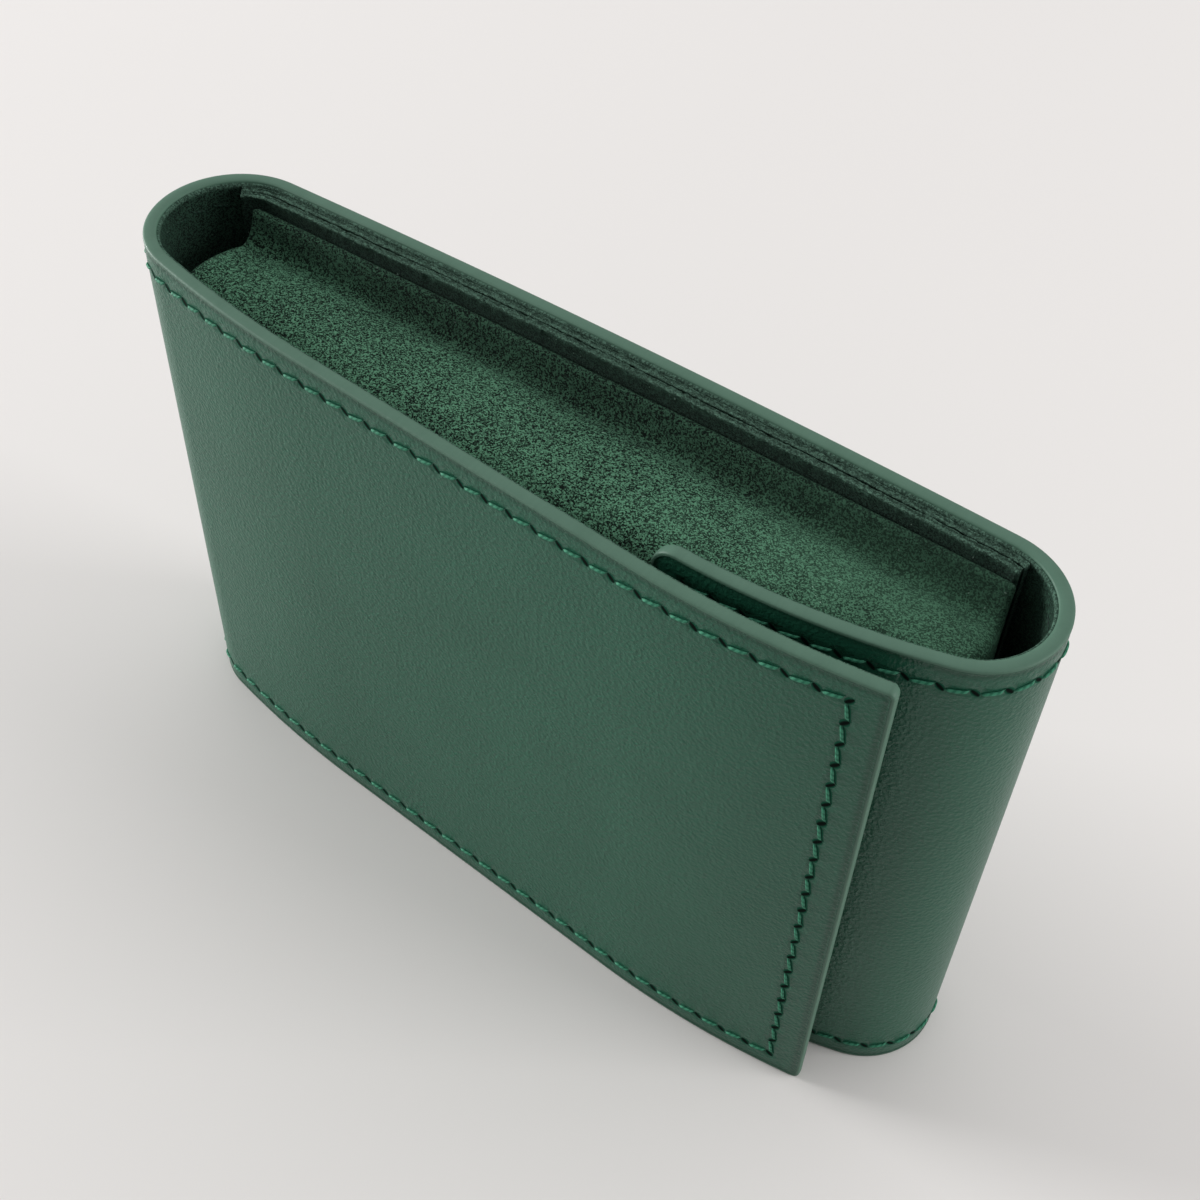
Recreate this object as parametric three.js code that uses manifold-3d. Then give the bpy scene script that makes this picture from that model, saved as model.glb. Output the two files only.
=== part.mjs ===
// Watch pouch: a lined leather strip wrapped round a suede pillow, closed by a hidden press stud.
// Millimetres, +Z up. The front, with its two overlapping flaps, faces -Y.
import * as THREE from "three";
import { mergeVertices } from "three/addons/utils/BufferGeometryUtils.js";
import Module from "manifold-3d";

const wasm = await Module();
wasm.setup();

const DEGREE = Math.PI / 180;
const QUARTER_TURN = 90 * DEGREE;

// Strip, as seen from above: lengths and radii are those of its outer face
const STRIP_HEIGHT = 80;
const INNER_FLAP_LENGTH = 33;
const INNER_FLAP_RADIUS = 95;
const RIGHT_END_RADIUS = 10.3;
const RIGHT_END_TURN = 161 * DEGREE;
const BACK_LENGTH = 101;
const BACK_BOW_RADIUS = 1400;
const LEFT_END_RADIUS = 10.9;
const LEFT_END_TURN = 165.6 * DEGREE;
const OUTER_FLAP_EASE_LENGTH = 25;
const OUTER_FLAP_EASE_RADIUS = 167;
const OUTER_FLAP_FLAT_LENGTH = 48.5;
const OUTER_FLAP_BEND_LENGTH = 30;
const OUTER_FLAP_BEND_RADIUS = 126;

// Fold lines, where each round end bends as the flaps open
const FOLDS_PER_END = 3;
const FOLD_GAP = 0.3;

// Strip, through its wall
const LEATHER_THICKNESS = 1.1;
const LINING_THICKNESS = 0.8;
const GLUE_LINE = 0.06;
const LINING_SETBACK = 0.3;
const EDGE_ROUND = 0.4;
const INNER_FLAP_CORNER_RADIUS = 3;
const OUTER_FLAP_CORNER_RADIUS = 1;

// Suede panel on the back wall: two sheets with a stiff board between them
const PANEL_LENGTH = 111;
const PANEL_OFFSET = -1.7;
const PANEL_DROP = 0.6;
const PANEL_SUEDE_THICKNESS = 0.8;
const PANEL_BOARD_THICKNESS = 0.4;
const PANEL_BOARD_SETBACK = 2;
const PANEL_BOARD_ROUND = 0.1;

// Pillow, crowned at the front, the top and the ends, with a thin lip along its back edges
const PILLOW_LENGTH = 107.4;
const PILLOW_OFFSET = 0.2;
const PILLOW_DROP = 1.8;
const PILLOW_DEPTH = 18.8;
const PILLOW_CROWN = 6.1;
const PILLOW_CROWN_OFFSET = -3;
const PILLOW_BULGE = 0.4;
const PILLOW_TOP_CROWN = 1.4;
const PILLOW_PINCH = 0.5;
const PILLOW_LIP_THICKNESS = 0.8;
const PILLOW_SWEEP_DEPTH = 2.2;
const PILLOW_SWEEP_DROP = 4.2;
const PILLOW_CORNER_RADIUS = 2.8;
const PILLOW_END_RADIUS = 2.4;
const PILLOW_END_CROWN = 0.9;
const PILLOW_SUEDE_THICKNESS = 1;
const PILLOW_FILL_GAP = 0.3;
const PILLOW_SEAM_ANGLE = 45 * DEGREE;
const PILLOW_SEAM_GAP = 12 * DEGREE;
const PILLOW_SEAT_GAP = 0.5;

// Press stud between the flaps
const STUD_FROM_FLAP_END = 12;
const STUD_UP = STRIP_HEIGHT / 2;
const STUD_BASE_RADIUS = 4.2;
const STUD_BASE_THICKNESS = 0.3;
const STUD_NECK_RADIUS = 1.5;
const STUD_HEAD_RADIUS = 1.8;
const STUD_HEAD_HEIGHT = 0.75;
const STUD_NECK_HEIGHT = 0.25;
const STUD_WALL = 0.25;
const SOCKET_RADIUS = 4.4;
const SOCKET_HEIGHT = 0.95;
const SOCKET_FLOOR = 0.25;
const SOCKET_CLEARANCE = 0.45;
const RIVET_FLANGE_RADIUS = 4;
const RIVET_FLANGE_THICKNESS = 0.3;
const RIVET_SHANK_RADIUS = 0.8;
const RIVET_CLEARANCE = 0.25;
const SEAT_GAP = 0.12;

// Fineness of the facets
const FACET_DEVIATION = 0.03;
const EDGE_STEPS = 2;
const CORNER_STEPS = 4;
const PILLOW_STEPS = 12;
const PILLOW_END_STEPS = 3;
const PILLOW_CORNER_STEPS = 4;
const PILLOW_SWEEP_STEPS = 5;
const PILLOW_SIDE_STEPS = 4;
const STUD_SIDES = 28;

const PILLOW_HEIGHT = STRIP_HEIGHT - 2 * PILLOW_DROP;

// Depths in the wall, counted inwards from the leather's outer face
const LINING_DEPTH = LEATHER_THICKNESS + GLUE_LINE;
const WALL_THICKNESS = LINING_DEPTH + LINING_THICKNESS;
const PANEL_REAR_DEPTH = WALL_THICKNESS + GLUE_LINE;
const PANEL_BOARD_DEPTH = PANEL_REAR_DEPTH + PANEL_SUEDE_THICKNESS + GLUE_LINE;
const PANEL_FRONT_DEPTH = PANEL_BOARD_DEPTH + PANEL_BOARD_THICKNESS + GLUE_LINE;
const PILLOW_BACK_DEPTH = PANEL_FRONT_DEPTH + PANEL_SUEDE_THICKNESS + PILLOW_SEAT_GAP;

// Distances along the strip, from the inner flap's free end
const RIGHT_END_LENGTH = RIGHT_END_RADIUS * RIGHT_END_TURN;
const LEFT_END_LENGTH = LEFT_END_RADIUS * LEFT_END_TURN;
const RIGHT_END_START = INNER_FLAP_LENGTH;
const BACK_MIDDLE = RIGHT_END_START + RIGHT_END_LENGTH + BACK_LENGTH / 2;
const LEFT_END_START = BACK_MIDDLE + BACK_LENGTH / 2;
const OUTER_FLAP_START = LEFT_END_START + LEFT_END_LENGTH;

function spread(from, to, steps) {
  return Array.from({ length: steps + 1 }, (_, step) => from + ((to - from) * step) / steps);
}

// Plan path of the strip's outer face, made of stretches of one curvature each that all turn to the left.
// It runs from the inner flap's free end round the right end, along the back and round the left end to the
// outer flap's free end. Its datum lies at the origin and heads along -X. The pouch's inside is on its left.
class PlanPath {
  constructor(stretches, datum) {
    this.stretches = [];
    this.length = 0;
    for (const { length, radius } of stretches) {
      this.stretches.push({ start: this.length, length, radius });
      this.length += length;
    }
    this.heading = 0;
    this.origin = new THREE.Vector2();
    this.heading = Math.PI - this.at(datum).heading;
    this.origin = this.at(datum).point.negate();
  }

  at(distance, depth = 0) {
    const point = this.origin.clone();
    let heading = this.heading;
    for (const { start, length, radius } of this.stretches) {
      const run = Math.min(distance - start, length);
      if (run <= 0) {
        break;
      }
      const after = heading + run / radius;
      if (radius === Infinity) {
        point.x += run * Math.cos(heading);
        point.y += run * Math.sin(heading);
      } else {
        point.x += radius * (Math.sin(after) - Math.sin(heading));
        point.y += radius * (Math.cos(heading) - Math.cos(after));
      }
      heading = after;
    }
    const inward = new THREE.Vector2(-Math.sin(heading), Math.cos(heading));
    return { point: point.addScaledVector(inward, depth), heading, inward };
  }

  // Distances at which a sheet is faceted: the longest facet has its middle FACET_DEVIATION off the curve
  stations(from, to) {
    const stations = [from];
    for (const { start, length, radius } of this.stretches) {
      const low = Math.max(from, start);
      const high = Math.min(to, start + length);
      if (high <= low) {
        continue;
      }
      const longest = Math.sqrt(8 * radius * FACET_DEVIATION);
      const steps = Math.ceil((high - low) / longest) || 1;
      stations.push(...spread(low, high, steps).slice(1));
    }
    return stations;
  }

  // Distance at which the last stretch has a point squarely on its inside
  distanceFacing(point) {
    const { start, radius } = this.stretches.at(-1);
    const { heading, inward, point: begin } = this.at(start);
    const centre = begin.clone().addScaledVector(inward, radius);
    const outward = point.clone().sub(centre);
    const turn = Math.atan2(outward.x, -outward.y) - (heading - 2 * Math.PI);
    return start + radius * turn;
  }
}

const path = new PlanPath(
  [
    { length: INNER_FLAP_LENGTH, radius: INNER_FLAP_RADIUS },
    { length: RIGHT_END_LENGTH, radius: RIGHT_END_RADIUS },
    { length: BACK_LENGTH, radius: BACK_BOW_RADIUS },
    { length: LEFT_END_LENGTH, radius: LEFT_END_RADIUS },
    { length: OUTER_FLAP_EASE_LENGTH, radius: OUTER_FLAP_EASE_RADIUS },
    { length: OUTER_FLAP_FLAT_LENGTH, radius: Infinity },
    { length: OUTER_FLAP_BEND_LENGTH, radius: OUTER_FLAP_BEND_RADIUS },
  ],
  BACK_MIDDLE,
);

// Joins rings of equally many points into walls. Each ring is joined to the next one.
function wallFaces(rings, joinEnds) {
  const sides = rings[0].length;
  const faces = [];
  const joins = joinEnds ? rings.length : rings.length - 1;
  for (let ring = 0; ring < joins; ring += 1) {
    const here = ring * sides;
    const there = ((ring + 1) % rings.length) * sides;
    for (let side = 0; side < sides; side += 1) {
      const next = (side + 1) % sides;
      faces.push(here + side, here + next, there + side);
      faces.push(here + next, there + next, there + side);
    }
  }
  return faces;
}

// A ring-shaped solid: the last ring is joined to the first
function loopLoft(rings) {
  const geometry = new THREE.BufferGeometry().setFromPoints(rings.flat());
  geometry.setIndex(wallFaces(rings, true));
  return geometry;
}

// A solid through rings, with both ends closed by fans round their middles
function loft(rings) {
  const sides = rings[0].length;
  const corners = rings.flat();
  const faces = wallFaces(rings, false);
  const last = corners.length - sides;
  const [first, end] = [rings[0], rings.at(-1)].map((ring) => {
    const middle = new THREE.Vector3();
    ring.forEach((corner) => middle.addScaledVector(corner, 1 / sides));
    return corners.push(middle) - 1;
  });
  for (let side = 0; side < sides; side += 1) {
    const next = (side + 1) % sides;
    faces.push(first, next, side);
    faces.push(end, last + side, last + next);
  }
  const geometry = new THREE.BufferGeometry().setFromPoints(corners);
  geometry.setIndex(faces);
  return geometry;
}

// Section of a sheet through its thickness, as pairs of depth and height. The edges of one face are rounded.
function sheetSection({ outerDepth, innerDepth, round, roundOutside }, bottom, top) {
  const roundDepth = roundOutside ? outerDepth : innerDepth;
  const squareDepth = roundOutside ? innerDepth : outerDepth;
  const towards = Math.sign(squareDepth - roundDepth);
  const edge = spread(0, QUARTER_TURN, EDGE_STEPS).map((angle) => ({
    depth: roundDepth + towards * round * (1 - Math.sin(angle)),
    drop: round * (1 - Math.cos(angle)),
  }));
  const section = [
    [squareDepth, bottom],
    [squareDepth, top],
    ...edge.map(({ depth, drop }) => [depth, top - drop]),
    ...edge.toReversed().map(({ depth, drop }) => [depth, bottom + drop]),
  ];
  return roundOutside ? section : section.reverse();
}

// A sheet that follows the plan path from one distance to another. A free end has rounded corners.
function sheet(from, to, layer, freeEnd = null) {
  let stations = path.stations(from, to);
  let dropAt = () => 0;
  if (freeEnd) {
    const { at, radius } = freeEnd;
    const inwards = at > from ? -1 : 1;
    const arc = spread(0, QUARTER_TURN, CORNER_STEPS).map((angle) => {
      return at + inwards * radius * (1 - Math.cos(angle));
    });
    const beyond = stations.filter((station) => Math.abs(station - at) > radius + FOLD_GAP);
    stations = [...beyond, ...arc].sort((a, b) => a - b);
    dropAt = (station) => {
      const past = Math.max(0, radius - Math.abs(station - at));
      return radius - Math.sqrt(radius ** 2 - past ** 2);
    };
  }
  const rings = stations.map((station) => {
    const inset = layer.setback + dropAt(station);
    return sheetSection(layer, inset, STRIP_HEIGHT - inset).map(([depth, height]) => {
      const { point } = path.at(station, depth);
      return new THREE.Vector3(point.x, point.y, height);
    });
  });
  return loft(rings);
}

// Layers of the wall and of the panel on it
const LEATHER = {
  outerDepth: 0,
  innerDepth: LEATHER_THICKNESS,
  setback: 0,
  round: EDGE_ROUND,
  roundOutside: true,
};
const LINING = {
  outerDepth: LINING_DEPTH,
  innerDepth: WALL_THICKNESS,
  setback: LINING_SETBACK,
  round: EDGE_ROUND,
  roundOutside: false,
};
const PANEL_REAR = {
  outerDepth: PANEL_REAR_DEPTH,
  innerDepth: PANEL_REAR_DEPTH + PANEL_SUEDE_THICKNESS,
  setback: PANEL_DROP,
  round: EDGE_ROUND,
  roundOutside: true,
};
const PANEL_BOARD = {
  outerDepth: PANEL_BOARD_DEPTH,
  innerDepth: PANEL_BOARD_DEPTH + PANEL_BOARD_THICKNESS,
  setback: PANEL_DROP + PANEL_BOARD_SETBACK,
  round: PANEL_BOARD_ROUND,
  roundOutside: false,
};
const PANEL_FRONT = {
  outerDepth: PANEL_FRONT_DEPTH,
  innerDepth: PANEL_FRONT_DEPTH + PANEL_SUEDE_THICKNESS,
  setback: PANEL_DROP,
  round: EDGE_ROUND,
  roundOutside: false,
};

// The strip's panels between its fold lines, in order along the path
function foldLines(start, length) {
  const pitch = length / FOLDS_PER_END;
  return spread(start + pitch / 2, start + length - pitch / 2, FOLDS_PER_END - 1);
}

const rightFolds = foldLines(RIGHT_END_START, RIGHT_END_LENGTH);
const leftFolds = foldLines(LEFT_END_START, LEFT_END_LENGTH);
const PANEL_NAMES = [
  "inner_flap",
  "right_end_front",
  "right_end_rear",
  "back",
  "left_end_rear",
  "left_end_front",
  "outer_flap",
];
const freeEnds = {
  inner_flap: { at: 0, radius: INNER_FLAP_CORNER_RADIUS },
  outer_flap: { at: path.length, radius: OUTER_FLAP_CORNER_RADIUS },
};

function stripPanels() {
  const folds = [...rightFolds, ...leftFolds];
  const starts = [0, ...folds.map((fold) => fold + FOLD_GAP / 2)];
  const ends = [...folds.map((fold) => fold - FOLD_GAP / 2), path.length];
  const panels = {};
  PANEL_NAMES.forEach((name, index) => {
    const layers = [LEATHER, LINING].map((layer) => sheet(starts[index], ends[index], layer, freeEnds[name]));
    panels[name] = { leather: layers[0], lining: layers[1] };
  });
  return panels;
}

// A sheet of the back panel, cut back by a setback at its two ends
function backSheet(layer, setback) {
  const middle = BACK_MIDDLE - PANEL_OFFSET;
  const half = PANEL_LENGTH / 2 - setback;
  return sheet(middle - half, middle + half, layer);
}

// A solid for cutting, from a closed mesh with its shared corners merged
function solidOf(geometry) {
  const plain = geometry.clone();
  plain.deleteAttribute("normal");
  plain.deleteAttribute("uv");
  const { attributes, index } = mergeVertices(plain);
  const vertProperties = new Float32Array(attributes.position.array);
  const triVerts = new Uint32Array(index.array);
  return new wasm.Manifold(new wasm.Mesh({ numProp: 3, vertProperties, triVerts }));
}

function cutAway(geometry, tool) {
  const { vertProperties, triVerts, numProp } = solidOf(geometry).subtract(solidOf(tool)).getMesh();
  const cut = new THREE.BufferGeometry();
  cut.setAttribute("position", new THREE.BufferAttribute(new Float32Array(vertProperties), numProp));
  cut.setIndex(Array.from(triVerts));
  return cut;
}

// A turned piece that stands square to the strip. Its profile is in pairs of radius and height, and its
// heights are counted from a depth in the wall, inwards or outwards.
function turned(profile, distance, depth, inwards) {
  const { point, inward } = path.at(distance, depth);
  const axis = new THREE.Vector3(inward.x, inward.y, 0).multiplyScalar(inwards ? 1 : -1);
  const outline = profile.map(([radius, height]) => new THREE.Vector2(radius, height));
  const geometry = new THREE.LatheGeometry(outline, STUD_SIDES);
  geometry.applyQuaternion(new THREE.Quaternion().setFromUnitVectors(new THREE.Vector3(0, 1, 0), axis));
  geometry.translate(point.x, point.y, STUD_UP);
  return geometry;
}

// The socket stands square to the outer flap's bend, and its axis goes through the middle of the stud's seat
const socketDistance = path.distanceFacing(path.at(STUD_FROM_FLAP_END).point);

// A rivet with its flange at the bottom
function rivetProfile(length) {
  return [
    [0, 0],
    [RIVET_FLANGE_RADIUS, 0],
    [RIVET_FLANGE_RADIUS, RIVET_FLANGE_THICKNESS],
    [RIVET_SHANK_RADIUS, RIVET_FLANGE_THICKNESS],
    [RIVET_SHANK_RADIUS, length],
    [0, length],
  ];
}

const BORE_RADIUS = RIVET_SHANK_RADIUS + RIVET_CLEARANCE;
const POCKET_RADIUS = RIVET_FLANGE_RADIUS + RIVET_CLEARANCE;
const POCKET_DEPTH = RIVET_FLANGE_THICKNESS + 2 * SEAT_GAP;

// A plain round cut between two heights
function boreProfile(radius, from, to) {
  return [
    [0, from],
    [radius, from],
    [radius, to],
    [0, to],
  ];
}

// The rivets' flanges lie between leather and lining. The cap goes in through the outer flap's lining to the
// socket, and the post goes out through the inner flap's leather to the stud.
function cutRivetRoom(panels) {
  const { inner_flap: inner, outer_flap: outer } = panels;
  const pocket = boreProfile(POCKET_RADIUS, -GLUE_LINE, POCKET_DEPTH);
  const liningBore = boreProfile(BORE_RADIUS, 0, LINING_THICKNESS + GLUE_LINE);
  const leatherBore = boreProfile(BORE_RADIUS, -GLUE_LINE, LEATHER_THICKNESS + GLUE_LINE);
  outer.lining = cutAway(outer.lining, turned(pocket, socketDistance, LINING_DEPTH, true));
  outer.lining = cutAway(outer.lining, turned(liningBore, socketDistance, LINING_DEPTH, true));
  inner.lining = cutAway(inner.lining, turned(pocket, STUD_FROM_FLAP_END, LINING_DEPTH, true));
  inner.leather = cutAway(inner.leather, turned(leatherBore, STUD_FROM_FLAP_END, 0, true));
}

function snapCap() {
  const length = LINING_THICKNESS + SOCKET_FLOOR;
  return turned(rivetProfile(length), socketDistance, LINING_DEPTH + SEAT_GAP, true);
}

function snapSocket() {
  const bore = STUD_HEAD_RADIUS + SOCKET_CLEARANCE;
  const ring = [
    [BORE_RADIUS, 0],
    [SOCKET_RADIUS, 0],
    [SOCKET_RADIUS, SOCKET_HEIGHT],
    [bore, SOCKET_HEIGHT],
    [bore, SOCKET_FLOOR],
    [BORE_RADIUS, SOCKET_FLOOR],
    [BORE_RADIUS, 0],
  ];
  return turned(ring, socketDistance, WALL_THICKNESS + SEAT_GAP, true);
}

function snapPost() {
  const flangeDepth = LINING_DEPTH + POCKET_DEPTH - SEAT_GAP;
  const length = flangeDepth + SEAT_GAP + STUD_BASE_THICKNESS;
  return turned(rivetProfile(length), STUD_FROM_FLAP_END, flangeDepth, false);
}

function snapStud() {
  const top = STUD_BASE_THICKNESS + STUD_HEAD_HEIGHT;
  const neckTop = STUD_BASE_THICKNESS + STUD_NECK_HEIGHT;
  const shoulder = top - STUD_WALL;
  const profile = [
    [0, shoulder],
    [BORE_RADIUS, shoulder],
    [BORE_RADIUS, 0],
    [STUD_BASE_RADIUS, 0],
    [STUD_BASE_RADIUS, STUD_BASE_THICKNESS],
    [STUD_NECK_RADIUS, STUD_BASE_THICKNESS],
    [STUD_NECK_RADIUS, neckTop],
    [STUD_HEAD_RADIUS, shoulder],
    [STUD_NECK_RADIUS, top],
    [0, top],
  ];
  return turned(profile, STUD_FROM_FLAP_END, -SEAT_GAP, false);
}

// Section of the pillow, as pairs of distance across and up from its middle. Its top and bottom sweep up to a
// lip at the back, swell in front of that sweep, and end in round front corners. inset is the depth below the
// surface.
function pillowSection(halfDepth, halfHeight, inset) {
  const back = halfDepth - inset;
  const sweepMiddle = halfDepth - PILLOW_LIP_THICKNESS - PILLOW_SWEEP_DEPTH;
  const sweepDepth = PILLOW_SWEEP_DEPTH + inset;
  const sweepDrop = PILLOW_SWEEP_DROP + inset;
  const meetsBack = Math.acos(Math.min(1, (back - sweepMiddle) / sweepDepth));
  const meetsLip = Math.asin(inset / sweepDrop);
  const sweep = spread(Math.max(meetsBack, meetsLip), QUARTER_TURN, PILLOW_SWEEP_STEPS).map((angle) => {
    return new THREE.Vector2(
      sweepMiddle + sweepDepth * Math.cos(angle),
      halfHeight - sweepDrop * Math.sin(angle),
    );
  });
  const lip = new THREE.Vector2(back, sweep[0].y - inset);
  const radius = Math.max(PILLOW_CORNER_RADIUS - inset, PILLOW_FILL_GAP);
  const cornerMiddle = new THREE.Vector2(radius - back, sweep.at(-1).y + PILLOW_TOP_CROWN - radius);
  const corner = spread(QUARTER_TURN, 2 * QUARTER_TURN, PILLOW_CORNER_STEPS).map((angle) => {
    return new THREE.Vector2(radius * Math.cos(angle), radius * Math.sin(angle)).add(cornerMiddle);
  });
  const swell = spread(0, 1, PILLOW_SIDE_STEPS).slice(1, -1).map((share) => {
    return new THREE.Vector2(
      sweepMiddle + (cornerMiddle.x - sweepMiddle) * share,
      sweep.at(-1).y + PILLOW_TOP_CROWN * (1 - (1 - share) ** 2),
    );
  });
  const upper = [lip, ...sweep, ...swell, ...corner];
  const lower = upper.map(({ x, y }) => new THREE.Vector2(x, -y)).reverse();
  const front = spread(upper.at(-1).y, lower[0].y, PILLOW_SIDE_STEPS).slice(1, -1).map((up) => {
    return new THREE.Vector2(-back, up);
  });
  return [...upper, ...front, ...lower];
}

// One ring round the pillow, at a share of its straight half length. turn is the angle reached on the rounded
// end, and inset the depth below the surface.
function pillowRing(share, turn, inset) {
  const side = Math.sign(share);
  const straight = PILLOW_LENGTH / 2 - PILLOW_END_RADIUS;
  const reach = (PILLOW_END_RADIUS - inset) * Math.sin(turn);
  const shrink = PILLOW_END_RADIUS - (PILLOW_END_RADIUS - inset) * Math.cos(turn);
  const along = share * straight + side * reach;
  const lengthwise = along / (PILLOW_LENGTH / 2);
  const x = PILLOW_OFFSET + along;
  const bow = x ** 2 / (2 * BACK_BOW_RADIUS);
  const crown = PILLOW_CROWN * ((x - PILLOW_CROWN_OFFSET) / (PILLOW_LENGTH / 2)) ** 2;
  const fullDepth = PILLOW_DEPTH - crown;
  const fullHeight = PILLOW_HEIGHT - 2 * PILLOW_PINCH * (1 - lengthwise ** 2);
  const halfDepth = fullDepth / 2;
  const halfHeight = fullHeight / 2;
  const middle = -PILLOW_BACK_DEPTH - bow - halfDepth;
  return pillowSection(halfDepth, halfHeight, shrink).map(({ x: across, y: up }) => {
    const acrossShare = across / halfDepth;
    const upShare = up / halfHeight;
    const bulge = across < 0 ? PILLOW_BULGE * (1 - upShare ** 2) * acrossShare ** 2 * Math.cos(turn) : 0;
    const crownEnd = side * PILLOW_END_CROWN * acrossShare ** 2 * Math.sin(turn) ** 2;
    return new THREE.Vector3(x - crownEnd, middle + across - bulge, STRIP_HEIGHT / 2 + up);
  });
}

// Rings along the pillow from the left seam or end to the right one
function pillowRings(reachAngle, inset) {
  const ends = spread(0, reachAngle, PILLOW_END_STEPS).slice(1);
  return [
    ...ends.toReversed().map((turn) => pillowRing(-1, turn, inset)),
    ...spread(-1, 1, PILLOW_STEPS).map((share) => pillowRing(share, 0, inset)),
    ...ends.map((turn) => pillowRing(1, turn, inset)),
  ];
}

function pillowSleeve() {
  const outside = pillowRings(PILLOW_SEAM_ANGLE, 0);
  const inside = pillowRings(PILLOW_SEAM_ANGLE, PILLOW_SUEDE_THICKNESS);
  return loopLoft([...outside, ...inside.toReversed()]);
}

function pillowEnd(side) {
  const turns = spread(PILLOW_SEAM_ANGLE + PILLOW_SEAM_GAP, QUARTER_TURN, PILLOW_END_STEPS);
  const outside = turns.map((turn) => pillowRing(side, turn, 0));
  const inside = turns.map((turn) => pillowRing(side, turn, PILLOW_SUEDE_THICKNESS));
  const rings = [...inside.toReversed(), ...outside];
  return loft(side > 0 ? rings : rings.toReversed());
}

function pillowCore() {
  return loft(pillowRings(QUARTER_TURN, PILLOW_SUEDE_THICKNESS + PILLOW_FILL_GAP));
}

const leatherMaterial = new THREE.MeshStandardMaterial({ color: 0x3f5c50, roughness: 0.5, metalness: 0 });
const suedeMaterial = new THREE.MeshStandardMaterial({ color: 0x385644, roughness: 0.95, metalness: 0 });
const boardMaterial = new THREE.MeshStandardMaterial({ color: 0x4a4640, roughness: 0.9, metalness: 0 });
const foamMaterial = new THREE.MeshStandardMaterial({ color: 0xd9d4c4, roughness: 1, metalness: 0 });
const brassMaterial = new THREE.MeshStandardMaterial({ color: 0x8c8264, roughness: 0.35, metalness: 1 });

const pouch = new THREE.Group();

function add(name, geometry, material) {
  const mesh = new THREE.Mesh(geometry, material.clone());
  mesh.name = name;
  pouch.add(mesh);
}

const strip = stripPanels();
cutRivetRoom(strip);
for (const [name, { leather, lining }] of Object.entries(strip)) {
  add(`${name}_leather`, leather, leatherMaterial);
  add(`${name}_lining`, lining, suedeMaterial);
}
add("panel_rear_suede", backSheet(PANEL_REAR, 0), suedeMaterial);
add("panel_board", backSheet(PANEL_BOARD, PANEL_BOARD_SETBACK), boardMaterial);
add("panel_front_suede", backSheet(PANEL_FRONT, 0), suedeMaterial);
add("snap_cap", snapCap(), brassMaterial);
add("snap_socket", snapSocket(), brassMaterial);
add("snap_post", snapPost(), brassMaterial);
add("snap_stud", snapStud(), brassMaterial);
add("pillow_core", pillowCore(), foamMaterial);
add("pillow_sleeve", pillowSleeve(), suedeMaterial);
add("pillow_left_end", pillowEnd(-1), suedeMaterial);
add("pillow_right_end", pillowEnd(1), suedeMaterial);

// The origin is the middle of the pouch's footprint. The fold axes are given in that frame: they stand
// upright on the outer face.
const footprint = new THREE.Box3().setFromObject(pouch);
const { x: middleX, y: middleY } = footprint.getCenter(new THREE.Vector3());
pouch.position.set(-middleX, -middleY, -footprint.min.z);
const axisOf = (fold) => path.at(fold).point.sub(new THREE.Vector2(middleX, middleY)).toArray();
pouch.userData.foldAxes = { left: leftFolds.map(axisOf), right: rightFolds.toReversed().map(axisOf) };

export default pouch;
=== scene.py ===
"""Looks of the watch pouch: a lined, stitched leather strip with painted edges round a suede pillow."""

import math

import bmesh
import bpy
import numpy as np
from mathutils import Matrix, Vector


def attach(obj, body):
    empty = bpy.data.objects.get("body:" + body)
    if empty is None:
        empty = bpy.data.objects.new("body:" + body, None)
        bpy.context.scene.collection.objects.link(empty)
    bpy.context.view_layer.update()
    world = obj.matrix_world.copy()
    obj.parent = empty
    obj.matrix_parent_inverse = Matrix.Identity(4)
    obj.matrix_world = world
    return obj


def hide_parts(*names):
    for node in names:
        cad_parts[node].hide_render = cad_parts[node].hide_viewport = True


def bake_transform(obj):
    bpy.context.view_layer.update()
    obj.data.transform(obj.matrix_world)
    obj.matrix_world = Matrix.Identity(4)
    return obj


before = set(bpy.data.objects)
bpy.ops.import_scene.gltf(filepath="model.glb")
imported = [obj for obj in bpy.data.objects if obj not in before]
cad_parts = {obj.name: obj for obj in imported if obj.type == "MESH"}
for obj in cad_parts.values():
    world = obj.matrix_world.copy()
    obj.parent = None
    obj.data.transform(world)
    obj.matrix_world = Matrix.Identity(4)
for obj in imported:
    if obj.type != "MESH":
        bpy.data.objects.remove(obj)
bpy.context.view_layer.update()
scene = bpy.context.scene
RANDOM_SEED = 7
chance = np.random.default_rng(RANDOM_SEED)

# Sizes are in millimetres, as in the part's source, and go to metres as each mesh is made
MM = 0.001

# Strip from above: length and radius of each stretch of its outer face, from the inner flap's free end on
STRIP_HEIGHT = 80.0
RIGHT_END_RADIUS, RIGHT_END_TURN = 10.3, math.radians(161)
LEFT_END_RADIUS, LEFT_END_TURN = 10.9, math.radians(165.6)
INNER_FLAP_LENGTH, INNER_FLAP_RADIUS = 33.0, 95.0
RIGHT_END_LENGTH = RIGHT_END_RADIUS * RIGHT_END_TURN
BACK_LENGTH, BACK_BOW_RADIUS = 101.0, 1400.0
LEFT_END_LENGTH = LEFT_END_RADIUS * LEFT_END_TURN
OUTER_FLAP_EASE_LENGTH, OUTER_FLAP_EASE_RADIUS = 25.0, 167.0
OUTER_FLAP_FLAT_LENGTH = 48.5
OUTER_FLAP_BEND_LENGTH, OUTER_FLAP_BEND_RADIUS = 30.0, 126.0
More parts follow.
